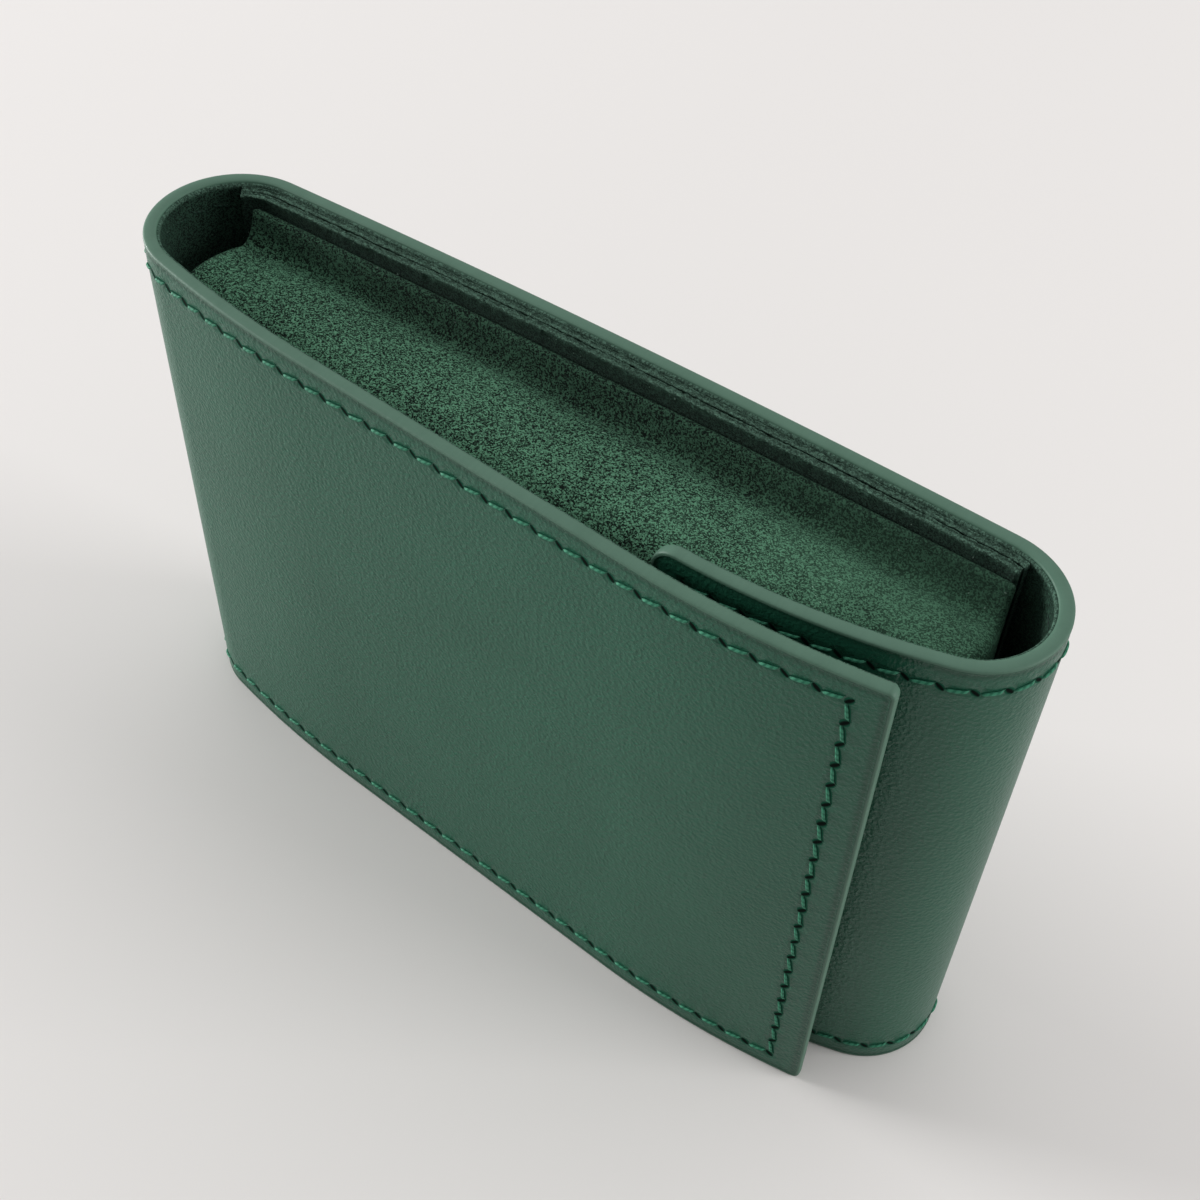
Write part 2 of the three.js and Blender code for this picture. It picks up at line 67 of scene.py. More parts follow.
STRETCHES = [
    (INNER_FLAP_LENGTH, INNER_FLAP_RADIUS),
    (RIGHT_END_LENGTH, RIGHT_END_RADIUS),
    (BACK_LENGTH, BACK_BOW_RADIUS),
    (LEFT_END_LENGTH, LEFT_END_RADIUS),
    (OUTER_FLAP_EASE_LENGTH, OUTER_FLAP_EASE_RADIUS),
    (OUTER_FLAP_FLAT_LENGTH, math.inf),
    (OUTER_FLAP_BEND_LENGTH, OUTER_FLAP_BEND_RADIUS),
]
RIGHT_END_START = INNER_FLAP_LENGTH
BACK_MIDDLE = RIGHT_END_START + RIGHT_END_LENGTH + BACK_LENGTH / 2
LEFT_END_START = BACK_MIDDLE + BACK_LENGTH / 2
FOLDS_PER_END = 3
STATION_SAG = 0.004
LONGEST_STATION = 3.0

# Place of the back's middle, on the strip's outer face, in the row frame
ROW_SHIFT = np.array([0.283411, 14.691604])

# Strip, through its wall: depths are counted inwards from the leather's outer face
LEATHER_BACK = 1.15
LINING_BACK = 1.19
LINING_FACE = 1.97
INNER_CORNER_RADIUS, OUTER_CORNER_RADIUS = 3.0, 1.0
CORNER_STEPS = 8
LEAST_BEND = 0.02
RIM_WIDTH, RIM_HEIGHT, RIM_FLATNESS = 1.66, 0.42, 0.55
RIM_STEPS = 14
GRID_MARGIN, GRID_ROWS = 0.1, 10

# Sections through the strip's free edge, as insets from the edge and depths
CREASE_INSET = 0.78
CREASE_SECTION = [
    (1.6, 0),
    (1.34, 0.012),
    (1.12, 0.036),
    (0.95, 0.06),
    (CREASE_INSET, 0.072),
    (0.67, 0.06),
    (0.57, 0.03),
    (0.49, 0.006),
]
RIM_LIP_SECTION = [
    (0.49, RIM_WIDTH - 0.02),
    (0.52, RIM_WIDTH - 0.1),
    (0.53, LEATHER_BACK),
]
LINING_SECTION = [
    (1.4, LINING_FACE),
    (0.9, LINING_FACE + 0.01),
    (0.62, LINING_FACE),
    (0.46, 1.93),
    (0.38, 1.85),
    (0.35, 1.75),
    (0.4, 1.62),
    (0.62, LINING_BACK),
]

# Lock-stitching
STITCH_PITCH = 3.5
STITCH_INSET = 3.3
STITCH_END_INSET = 4.4
STITCH_BAND = 1.0
FAR_OFF = 9.0
STITCH_LENGTH, STITCH_LENGTH_SPREAD = 2.75, 0.03
STITCH_SLANT, STITCH_SLANT_SPREAD = 0.18, 0.25
STITCH_HOOK, STITCH_HOOK_POWER = 0.2, 3
THREAD_WIDTH, THREAD_HEIGHT = 0.21, 0.19
THREAD_RISE, THREAD_DIVE, THREAD_DIVE_POWER = 0.1, 0.5, 5
THREAD_TAPER, THREAD_TAPER_POWER = 0.6, 3
THREAD_SIDES, THREAD_STEPS = 8, 12
INSIDE_FLATNESS = 0.4
# Stitch holes and grooves are drawn as flat dark strips: painted shade in the slits, painted shadow beside
# each thread
HOLE_LENGTH, HOLE_WIDTH, HOLE_SLANT = 1.35, 0.95, math.radians(42)
HOLE_WIDTH_SPREAD, HOLE_BLUNTNESS = 0.12, 0.6
HOLE_STEPS = 12
GROOVE_SHADOW_OFFSET, GROOVE_SHADOW_WIDTH, GROOVE_SHADE = 0.26, 0.34, (0.65, 1.0)
DECAL_RISE = 0.015

# Suede panel on the back wall and pillow
PANEL_LENGTH, PANEL_OFFSET, PANEL_DROP = 111.0, -1.7, 0.6
PANEL_SUEDE_THICKNESS, PANEL_EDGE_ROUND = 0.8, 0.18
PANEL_FRAY, PANEL_FRAY_BAND = 0.05, 1
PANEL_SWAY, PANEL_SWAY_WINDOW = 0.1, 9
PANEL_BOARD_SETBACK, PANEL_CLOSE = 2.0, 0.2
PANEL_STATION, PANEL_ROWS, PANEL_EDGE_STEPS = 0.5, 40, 3
PANEL_SHEETS = {"panel_rear_suede": (2.02, 1), "panel_front_suede": (3.34, -1)}
PILLOW_LENGTH, PILLOW_OFFSET, PILLOW_HEIGHT, PILLOW_DEPTH = 107.4, 0.2, 76.4, 18.8
PILLOW_CROWN, PILLOW_CROWN_OFFSET, PILLOW_BULGE = 6.1, -3.0, 0.4
PILLOW_TOP_CROWN, PILLOW_PINCH = 1.4, 0.5
PILLOW_LIP_THICKNESS, PILLOW_SWEEP_DEPTH, PILLOW_SWEEP_DROP = 0.8, 2.2, 4.2
PILLOW_CORNER_RADIUS, PILLOW_END_RADIUS, PILLOW_END_CROWN = 2.8, 1.4, 0.9
PILLOW_LEAST_RADIUS = 0.3
LIP_ROUND = 0.2
PILLOW_BACK_DEPTH = 4.64
PILLOW_RINGS = 61
PILLOW_SWEEP_STEPS, PILLOW_CORNER_STEPS, PILLOW_TOP_STEPS = 8, 5, 12
PILLOW_FRONT_STEPS, PILLOW_REAR_STEPS = 29, 31
PILLOW_END_TURNS = np.radians([18, 36, 54, 72, 90])
PILLOW_CAP_SCALES = (0.7, 0.4, 0.12)
PILLOW_SWELL_LIMIT, LEAST_SWELL = 0.3, 1e-9
CLOTH_FRAMES, CLOTH_QUALITY = 20, 5
CLOTH_MASS, CLOTH_PRESSURE = 0.2, 4
CLOTH_TENSION, CLOTH_BENDING = 20, 0.3

# Camera, fitted to the photograph
CAMERA_LOCATION = (0.08278, -0.112866, 0.205435)
CAMERA_AZIMUTH, CAMERA_ELEVATION, CAMERA_ROLL = (math.radians(a) for a in (33.504, 48.365, 2.72))
CAMERA_LENS, CAMERA_SENSOR, CAMERA_CLIP = 50.953, 36, 0.01


def make_camera():
    sin, cos = math.sin, math.cos
    right = Vector((cos(CAMERA_AZIMUTH), sin(CAMERA_AZIMUTH), 0))
    level = Vector((sin(CAMERA_AZIMUTH), -cos(CAMERA_AZIMUTH), 0))
    back = level * cos(CAMERA_ELEVATION) + Vector((0, 0, sin(CAMERA_ELEVATION)))
    up = back.cross(right)
    across = right * cos(CAMERA_ROLL) + up * sin(CAMERA_ROLL)
    upright = up * cos(CAMERA_ROLL) - right * sin(CAMERA_ROLL)
    camera = bpy.data.objects.new("camera", bpy.data.cameras.new("camera"))
    turn = Matrix((across, upright, back)).transposed().to_4x4()
    camera.matrix_world = Matrix.Translation(CAMERA_LOCATION) @ turn
    camera.data.lens = CAMERA_LENS
    camera.data.sensor_width = CAMERA_SENSOR
    camera.data.clip_start = CAMERA_CLIP
    scene.collection.objects.link(camera)
    scene.camera = camera


# Plan path of the strip


class PlanPath:
    """Plan of the strip's outer face in the row frame. The pouch's inside is on the left of its heading."""

    def __init__(self):
        lengths = np.array([length for length, _ in STRETCHES])
        self.bends = np.array([1 / radius for _, radius in STRETCHES])
        self.starts = np.concatenate([[0], np.cumsum(lengths)[:-1]])
        self.length = lengths.sum()
        self.headings = np.concatenate([[0], np.cumsum(lengths * self.bends)[:-1]])
        self.headings += math.pi - self.heading(BACK_MIDDLE)
        self.corners = np.zeros((len(lengths), 2))
        for i, length in enumerate(lengths[:-1]):
            self.corners[i + 1] = self.end_of(i, length)
        self.corners += ROW_SHIFT - self.point(BACK_MIDDLE)

    def end_of(self, i, run):
        half = self.bends[i] * run / 2
        heading = self.headings[i] + half
        chord = run * np.sinc(half / math.pi)
        return self.corners[i] + (chord * np.array([np.cos(heading), np.sin(heading)])).T

    def stretch(self, along):
        return np.clip(np.searchsorted(self.starts, along, side="right") - 1, 0, len(self.starts) - 1)

    def heading(self, along):
        i = self.stretch(along)
        return self.headings[i] + self.bends[i] * (along - self.starts[i])

    def point(self, along):
        i = self.stretch(along)
        return self.end_of(i, along - self.starts[i])

    def inward(self, along):
        heading = self.heading(along)
        return np.stack([-np.sin(heading), np.cos(heading)], -1)

    def place(self, along, up, depth):
        """Points in the row frame, in metres."""
        plan = self.point(along) + self.inward(along) * np.asarray(depth)[..., None]
        return np.concatenate([plan, np.asarray(up)[..., None]], -1) * MM

    def turn(self, vectors, along):
        """Directions in the row frame, from their parts along, up and inwards."""
        heading = self.heading(along)
        forward = np.stack([np.cos(heading), np.sin(heading)], -1)
        plan = forward * vectors[:, :1] + self.inward(along) * vectors[:, 2:]
        return np.concatenate([plan, vectors[:, 1:2]], -1)

    def stations(self, start, end, longest=LONGEST_STATION):
        """Distances that are close together where the strip bends."""
        found = [start]
        stops = [*(s for s in self.starts if start < s < end), end]
        for stop in stops:
            bend = self.bends[self.stretch((found[-1] + stop) / 2)]
            step = min(longest, math.sqrt(8 * STATION_SAG / bend)) if bend else longest
            count = max(1, math.ceil((stop - found[-1]) / step))
            found.extend(np.linspace(found[-1], stop, count + 1)[1:])
        return np.array(found)


path = PlanPath()


def fold_lines(start, length):
    """The fold lines of a round end, each with half the distance between two of them."""
    pitch = length / FOLDS_PER_END
    return [(start + pitch * (i + 0.5), pitch / 2) for i in range(FOLDS_PER_END)]


def strip_piece(name, bodies, fold_line, start=None, end=None, nodes=None):
    """A piece that bends across one fold line. By default it ends half a pitch away from that line."""
    fold, half = fold_line
    span = (fold - half if start is None else start, fold + half if end is None else end)
    nodes = nodes or (name,)
    return {"name": name, "bodies": bodies, "nodes": nodes, "span": span, "fold": fold, "half": half}


RIGHT_FOLDS = fold_lines(RIGHT_END_START, RIGHT_END_LENGTH)
LEFT_FOLDS = fold_lines(LEFT_END_START, LEFT_END_LENGTH)
RIGHT_NODES, LEFT_NODES = ("right_end_rear", "back"), ("back", "left_end_rear")
PIECES = [
    strip_piece("inner_flap", ("inner_flap", "right_end_front"), RIGHT_FOLDS[0], start=0),
    strip_piece("right_end_front", ("right_end_front", "right_end_rear"), RIGHT_FOLDS[1]),
    strip_piece("back_right", ("right_end_rear", "wrap"), RIGHT_FOLDS[2], end=BACK_MIDDLE, nodes=RIGHT_NODES),
    strip_piece("back_left", ("wrap", "left_end_rear"), LEFT_FOLDS[0], start=BACK_MIDDLE, nodes=LEFT_NODES),
    strip_piece("left_end_front", ("left_end_rear", "left_end_front"), LEFT_FOLDS[1]),
    strip_piece("outer_flap", ("left_end_front", "outer_flap"), LEFT_FOLDS[2], end=path.length),
]


def bend(obj, piece):
    """Bakes an object's placing into its mesh. The piece doesn't bend across its fold line here."""
    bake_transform(obj)


# Meshes


def shade_smooth(mesh):
    mesh.polygons.foreach_set("use_smooth", [True] * len(mesh.polygons))


def new_object(name, points, faces, material):
    mesh = bpy.data.meshes.new(name)
    mesh.from_pydata([tuple(p) for p in points], [], faces)
    shade_smooth(mesh)
    mesh.materials.append(material)
    obj = bpy.data.objects.new(name, mesh)
    scene.collection.objects.link(obj)
    return obj


def close_ends(mesh):
    """Fills the open ends of a piece."""
    work = bmesh.new()
    work.from_mesh(mesh)
    bmesh.ops.holes_fill(work, edges=[e for e in work.edges if e.is_boundary], sides=0)
    work.to_mesh(mesh)
    work.free()


def corner_vertices(mesh):
    """Number of the vertex at each face corner."""
    found = np.zeros(len(mesh.loops), int)
    mesh.loops.foreach_get("vertex_index", found)
    return found


def grid_faces(columns, rows):
    """Faces of an open grid."""
    faces = []
    for i in range(columns - 1):
        for j in range(rows - 1):
            here, there = i * rows + j, (i + 1) * rows + j
            faces.append((here, there, there + 1, here + 1))
    return faces


def ring_faces(rings, count):
    """Faces between closed rings of points."""
    faces = []
    for i in range(rings - 1):
        for j in range(count):
            k = (j + 1) % count
            faces.append((i * count + j, i * count + k, (i + 1) * count + k, (i + 1) * count + j))
    return faces


def add_map(mesh, name, corners):
    layer = mesh.uv_layers.new(name=name)
    layer.data.foreach_set("uv", np.asarray(corners, float).ravel())


def section_normals(rows):
    """Normals of an open section line given as insets and depths, on the side that a lining's face is on."""
    steps = np.diff(rows, axis=0)
    steps /= np.linalg.norm(steps, axis=1)[:, None]
    middle = np.concatenate([steps[:1], steps[:-1] + steps[1:], steps[-1:]])
    middle /= np.linalg.norm(middle, axis=1)[:, None]
    return np.stack([middle[:, 1], -middle[:, 0]], -1)


def leather_section():
    """Insets and depths from the outer face through the crease and over the painted rim to the lining."""
    half = RIM_WIDTH / 2
    turns = np.linspace(-math.pi / 2, math.pi / 2, RIM_STEPS + 1)
    rim = [(RIM_HEIGHT * (1 - abs(math.cos(t)) ** RIM_FLATNESS), half * (1 + math.sin(t))) for t in turns]
    return np.array([*CREASE_SECTION, *rim, *RIM_LIP_SECTION])


def outline(start, end, lines_along, lines_up, radius, inset):
    """Points round a piece at an inset from its free edges: place, way inwards and grid line.

    They run counter-clockwise as seen from outside. An inset beyond the corners' radius has sharp corners.
    """
    last_along, last_up = len(lines_along) - 1, len(lines_up) - 1
    bottom = [(s, inset, 0, 1, i, 0) for i, s in enumerate(lines_along)]
    top = [(s, STRIP_HEIGHT - inset, 0, -1, i, last_up) for i, s in enumerate(lines_along)][::-1]
    if radius is None:
        return [bottom, top]
    hold, bend_radius = max(radius, inset), max(radius - inset, LEAST_BEND)

    def arc(centre_along, centre_up, first, column, line):
        turns = np.radians(np.linspace(first, first + 90, CORNER_STEPS + 1))
        found = []
        for c, s in zip(np.cos(turns), np.sin(turns)):
            found.append((centre_along + bend_radius * c, centre_up + bend_radius * s, -c, -s, column, line))
        return found

    high = STRIP_HEIGHT - hold
    if start > 0:
        side = [(end - inset, z, -1, 0, last_along, j) for j, z in enumerate(lines_up)]
        low_corner = arc(end - hold, hold, -90, last_along, 0)
        high_corner = arc(end - hold, high, 0, last_along, last_up)
        return [[*bottom, *low_corner, *side, *high_corner, *top]]
    side = [(inset, z, 1, 0, 0, j) for j, z in enumerate(lines_up)][::-1]
    high_corner = arc(hold, high, 90, 0, last_up)
    low_corner = arc(hold, hold, 180, 0, 0)
    return [[*top, *high_corner, *side, *low_corner, *bottom]]


def even_pitch(length):
    """Length of one stitch where whole stitches fill a row."""
    return length / round(length / STITCH_PITCH)


def seam_corners(mesh, along, up, radius, start):
    """Stitches counted along the seam and millimetres off it, for each face corner of a piece."""
    pitch_long = even_pitch(path.length - 2 * STITCH_END_INSET)
    pitch_end = even_pitch(STRIP_HEIGHT - 2 * STITCH_INSET)
    corners = np.zeros((len(mesh.loops), 2))
    for polygon in mesh.polygons:
        inside = list(polygon.vertices)
        s, z = along[inside], up[inside]
        upper = z.mean() > STRIP_HEIGHT / 2
        line = STRIP_HEIGHT - STITCH_INSET if upper else STITCH_INSET
        count, off = (s - STITCH_END_INSET) / pitch_long, z - line
        end_line = STITCH_END_INSET if start == 0 else path.length - STITCH_END_INSET
        inwards = 1 if start == 0 else -1
        if radius is not None:
            past = inwards * (s.mean() - end_line)
            if abs(past) < STITCH_BAND and abs(z.mean() - line) > STITCH_BAND:
                count = -inwards * (STRIP_HEIGHT - STITCH_INSET - z) / pitch_end
                off = -inwards * (s - end_line)
            if past < -STITCH_BAND or min(z.mean(), STRIP_HEIGHT - z.mean()) < STITCH_INSET - STITCH_BAND:
                off = np.full(len(inside), FAR_OFF)
        corners[polygon.loop_start : polygon.loop_start + len(inside)] = np.stack([count, off], -1)
    return corners


def corner_radius(start, end):
    """Radius of the corners at a piece's free end, if it has one."""
    if start == 0:
        return INNER_CORNER_RADIUS
    return OUTER_CORNER_RADIUS if end == path.length else None


def grid_lines(start, end, radius, margin):
    """Grid lines along and up a piece's face, with some on both sides of each seam."""
    low, high, extra = start, end, []
    if radius is not None:
        edges = [STITCH_END_INSET - STITCH_BAND, STITCH_END_INSET + STITCH_BAND]
        if start == 0:
            low, extra = margin, edges
        else:
            high, extra = end - margin, [end - e for e in edges]
    lines_along = np.unique(np.concatenate([path.stations(low, high), extra]))
    band = STITCH_INSET + STITCH_BAND
    between = np.linspace(band, STRIP_HEIGHT - band, GRID_ROWS)
    return lines_along, np.concatenate([[margin], between, [STRIP_HEIGHT - margin]])


def back_faces(rows, count, start):
    """Faces of a piece's back, between the last rows of points on its edge."""
    faces = []
    if len(rows) == 2:
        bottom, top = rows[0], rows[1][::-1]
    else:
        around = rows[0]
        faces.append(tuple(int(v) for v in around[count - 1 : len(around) - count + 1][::-1]))
        first, last = around[:count], around[-count:]
        bottom, top = (last, first[::-1]) if start == 0 else (first, last[::-1])
    for i in range(count - 1):
        faces.append(tuple(int(v) for v in (bottom[i], top[i], top[i + 1], bottom[i + 1])))
    return faces


def sheet_piece(name, piece, section, facing, material):
    """A piece of leather (facing -1) or lining (facing 1): a face, an edge on its free sides, and a back."""
    start, end = piece["span"]
    radius = corner_radius(start, end)
    margin = max(radius or 0, section[0, 0]) + GRID_MARGIN
    lines_along, lines_up = grid_lines(start, end, radius, margin)
    columns, rows_up = len(lines_along), len(lines_up)

    grid_along, grid_up = (a.ravel() for a in np.meshgrid(lines_along, lines_up, indexing="ij"))
    along, up = [grid_along], [grid_up]
    depth = [np.full(grid_along.shape, section[0, 1])]
    normals = [np.tile([0, 0, float(facing)], (len(grid_along), 1))]
    from_edge = np.minimum(grid_up, STRIP_HEIGHT - grid_up)
    if radius is not None:
        from_edge = np.minimum(from_edge, grid_along if start == 0 else end - grid_along)
    run = [from_edge]
    faces = grid_faces(columns, rows_up)

    sides = section_normals(section) * facing
    steps = np.concatenate([[0], np.cumsum(np.linalg.norm(np.diff(section, axis=0), axis=1))])
    back_rows = []
    lines = [outline(start, end, lines_along, lines_up, radius, inset) for inset in section[:, 0]]
    for same in zip(*lines):
        before = None
        for k, line in enumerate(np.array(same, float)):
            if before is None:
                before = (line[:, 4] * rows_up + line[:, 5]).astype(int)
            base = sum(len(a) for a in along)
            along.append(line[:, 0])
            up.append(line[:, 1])
            depth.append(np.full(len(line), section[k, 1]))
            run.append(np.full(len(line), section[0, 0] - steps[k]))
            normals.append(np.column_stack([sides[k, 0] * line[:, 2:4], np.full(len(line), sides[k, 1])]))
            row = np.arange(base, base + len(line))
            for i in range(len(line) - 1):
                corners = [row[i], row[i + 1], before[i + 1], before[i]]
                faces.append(tuple(dict.fromkeys(int(c) for c in corners)))
            before = row
        back_rows.append(before)
    faces += back_faces(back_rows, columns, start)
    if facing > 0:
        faces = [face[::-1] for face in faces]

    along, up, depth, run = (np.concatenate(a) for a in (along, up, depth, run))
    obj = new_object(name, path.place(along, up, depth), faces, material)
    mesh = obj.data
    close_ends(mesh)
    shade_smooth(mesh)
    at = corner_vertices(mesh)
    add_map(mesh, "grain", np.stack([along, up], -1)[at] * MM)
    add_map(mesh, "edge", np.stack([along, run], -1)[at])
    add_map(mesh, "seam", seam_corners(mesh, along, up, radius, start))
    mesh.normals_split_custom_set_from_vertices(path.turn(np.concatenate(normals), along).tolist())
    return obj


# Lock-stitching


def seam_points(share):
    """Place and heading, along and up, of the point at a share of each stitch, all round the strip."""
    left, right = STITCH_END_INSET, path.length - STITCH_END_INSET
    low, high = STITCH_INSET, STRIP_HEIGHT - STITCH_INSET
    corners = np.array([(left, high), (right, high), (right, low), (left, low)])
    found = []
    for start, end in zip(corners, np.roll(corners, -1, axis=0)):
        length = np.abs(end - start).sum()
        heading = (end - start) / length
        count = round(length / STITCH_PITCH)
        steps = (np.arange(count) + share) * length / count
        found.append(np.column_stack([start + np.outer(steps, heading), np.tile(heading, (count, 1))]))
    return np.concatenate(found)


def on_seam(place, forward, left):
    """Distances along and up of points given by their distances forward and left of a place on the seam."""
    along, up, head_along, head_up = place
    return along + forward * head_along - left * head_up, up + forward * head_up + left * head_along


def tube_faces(rings, sides, flip):
    faces = []
    for i in range(rings - 1):
        for j in range(sides):
            k = (j + 1) % sides
            face = (i * sides + j, (i + 1) * sides + j, (i + 1) * sides + k, i * sides + k)
            faces.append(face[::-1] if flip else face)
    return faces


def swing_of(shares, slant):
    """How far a stitch lies left of the seam: it slants, and hooks into the holes at its ends."""
    return slant * shares + STITCH_HOOK * shares**STITCH_HOOK_POWER


def thread(place, inside):
    """One stitch: it rises out of one hole, crosses the face at a slant and dives into the next."""
    shares = np.linspace(-1, 1, THREAD_STEPS + 1)
    turns = np.arange(THREAD_SIDES) * 2 * math.pi / THREAD_SIDES
    slant = STITCH_SLANT * (1 + STITCH_SLANT_SPREAD * chance.standard_normal())
    length = STITCH_LENGTH * (1 + STITCH_LENGTH_SPREAD * chance.standard_normal())
    taper = 1 - THREAD_TAPER * np.abs(shares) ** THREAD_TAPER_POWER
    flat = INSIDE_FLATNESS if inside else 1.0
    forward = np.repeat(shares * length / 2, THREAD_SIDES)
    left = np.repeat(swing_of(shares, slant), THREAD_SIDES)
    left = left + np.outer(taper, THREAD_WIDTH * np.cos(turns)).ravel()
    rise = np.repeat(THREAD_RISE - THREAD_DIVE * np.abs(shares) ** THREAD_DIVE_POWER, THREAD_SIDES)
    rise = flat * (rise + np.outer(taper, THREAD_HEIGHT * np.sin(turns)).ravel())
    depth = LINING_FACE + rise if inside else -rise
    twist = np.stack([forward, np.tile(turns / (2 * math.pi), len(shares))], -1)
    points = path.place(*on_seam(place, forward, left), depth)
    return points, tube_faces(len(shares), THREAD_SIDES, not inside), twist


def gather(name, parts, material):
    """One object from many small meshes, each given by its points, its faces and a map."""
    faces, base = [], 0
    for points, sides, _ in parts:
        faces.extend(tuple(base + v for v in face) for face in sides)
        base += len(points)
    obj = new_object(name, np.concatenate([points for points, _, _ in parts]), faces, material)
    twists = np.concatenate([twist for _, _, twist in parts])
    add_map(obj.data, "twist", twists[corner_vertices(obj.data)])
    return obj


def stitches(piece, material):
    """All stitches on the outer face of one piece of the strip."""
    start, end = piece["span"]
    parts = [thread(place, False) for place in seam_points(0.5) if start <= place[0] < end]
    return gather(f"stitches_{piece['name']}", parts, material)


def inside_stitches(piece, material):
    """All stitches on the lining of one piece of the strip that the panel doesn't cover, if there are any."""
    start, end = piece["span"]
    covered = BACK_MIDDLE - PANEL_OFFSET
    reach = PANEL_LENGTH / 2 + STITCH_LENGTH
    places = [p for p in seam_points(0.5) if start <= p[0] < end and abs(p[0] - covered) > reach]
    return gather(f"inside_stitches_{piece['name']}", [thread(p, True) for p in places], material)


def strip_of(place, forward, left, half_width, across=(0.0, 1.0)):
    """A thin flat strip on the leather, round a line given forward and left of a place on the seam."""
    run = np.stack([np.gradient(forward), np.gradient(left)], -1)
    run /= np.linalg.norm(run, axis=1)[:, None]
    count = len(forward)
    points = []
    for side in (-half_width, half_width):
        line = on_seam(place, forward - side * run[:, 1], left + side * run[:, 0])
        points.append(path.place(*line, np.full(count, -DECAL_RISE)))
    faces = [(i, i + 1, count + i + 1, count + i) for i in range(count - 1)]
    twist = np.stack([np.tile(forward, 2), np.repeat(across, count)], -1)
    return np.concatenate(points), faces, twist


def holes(piece, material):
    """Painted shade in the slanting slits that one piece's stitches go through, and painted shadow in each
    stitch's groove.
    """
    start, end = piece["span"]
    shares = np.linspace(-1, 1, HOLE_STEPS + 1)
    narrow = np.maximum(1 - shares**2, 0) ** HOLE_BLUNTNESS
    reach = shares * HOLE_LENGTH / 2
    # Painted shade in each slit
    slit = (reach * math.cos(HOLE_SLANT), -reach * math.sin(HOLE_SLANT))
    # Painted shadow beside each thread, in the groove that it lies in
    groove = (shares * STITCH_LENGTH / 2, swing_of(shares, STITCH_SLANT) + GROOVE_SHADOW_OFFSET)
    parts = []
    for place in seam_points(0.0):
        if start <= place[0] < end:
            width = HOLE_WIDTH / 2 * (1 + HOLE_WIDTH_SPREAD * chance.standard_normal())
            parts.append(strip_of(place, *slit, narrow * width))
    for place in seam_points(0.5):
        if start <= place[0] < end:
            parts.append(strip_of(place, *groove, narrow * GROOVE_SHADOW_WIDTH / 2, GROOVE_SHADE))
    return gather(f"holes_{piece['name']}", parts, material)


# Panel on the back wall


def panel_sheet(name, depth, closes, material):
    """A cut suede sheet that follows the back wall. Its uneven edges close over the board.

    The board is ahead of the sheet, towards the pillow, where closes is 1, and behind it where closes is -1.
    """
    middle = BACK_MIDDLE - PANEL_OFFSET
    along = path.stations(middle - PANEL_LENGTH / 2, middle + PANEL_LENGTH / 2, PANEL_STATION)
    turns = np.linspace(0, math.pi / 2, PANEL_EDGE_STEPS + 1)
    edge_out = [(PANEL_EDGE_ROUND * (1 - math.sin(t)), PANEL_EDGE_ROUND * (1 - math.cos(t))) for t in turns]
    edge_in = [(PANEL_SUEDE_THICKNESS - d, h) for d, h in edge_out[::-1]]
    top = [(d, STRIP_HEIGHT - PANEL_DROP - h) for d, h in [*edge_out, *edge_in]]
    bottom = [(d, PANEL_DROP + h) for d, h in [*edge_in[::-1], *edge_out[::-1]]]
    ladder = np.linspace(STRIP_HEIGHT - PANEL_DROP, PANEL_DROP, PANEL_ROWS + 2)[1:-1]
    front = [(PANEL_SUEDE_THICKNESS, h) for h in ladder]
    rear = [(0.0, h) for h in ladder[::-1]]
    section = np.array([*top, *front, *bottom, *rear])
    from_edge = STRIP_HEIGHT / 2 - PANEL_DROP - np.abs(section[:, 1] - STRIP_HEIGHT / 2)
    loose = np.clip(1 - from_edge / PANEL_BOARD_SETBACK, 0, 1)
    from_middle = section[:, 0] - PANEL_SUEDE_THICKNESS / 2
    section[:, 0] += closes * PANEL_CLOSE * loose * (closes * from_middle > 0)
    count = len(section)
    window = np.ones(PANEL_SWAY_WINDOW) / PANEL_SWAY_WINDOW
    sway = np.convolve(chance.standard_normal(len(along) + PANEL_SWAY_WINDOW - 1), window, "valid")
    points = []
    for i, s in enumerate(along):
        fray = PANEL_FRAY * chance.standard_normal((count, 2)) * (from_edge < PANEL_FRAY_BAND)[:, None]
        deep = depth + section[:, 0] - np.abs(fray[:, 0]) * np.sign(section[:, 0] - PANEL_SUEDE_THICKNESS / 2)
        rise = section[:, 1] + fray[:, 1] + PANEL_SWAY * sway[i] * loose
        points.append(path.place(np.full(count, s), rise, deep))
    faces = ring_faces(len(along), count)
    obj = new_object(name, np.concatenate(points), faces, material)
    close_ends(obj.data)
    return obj


# Pillow


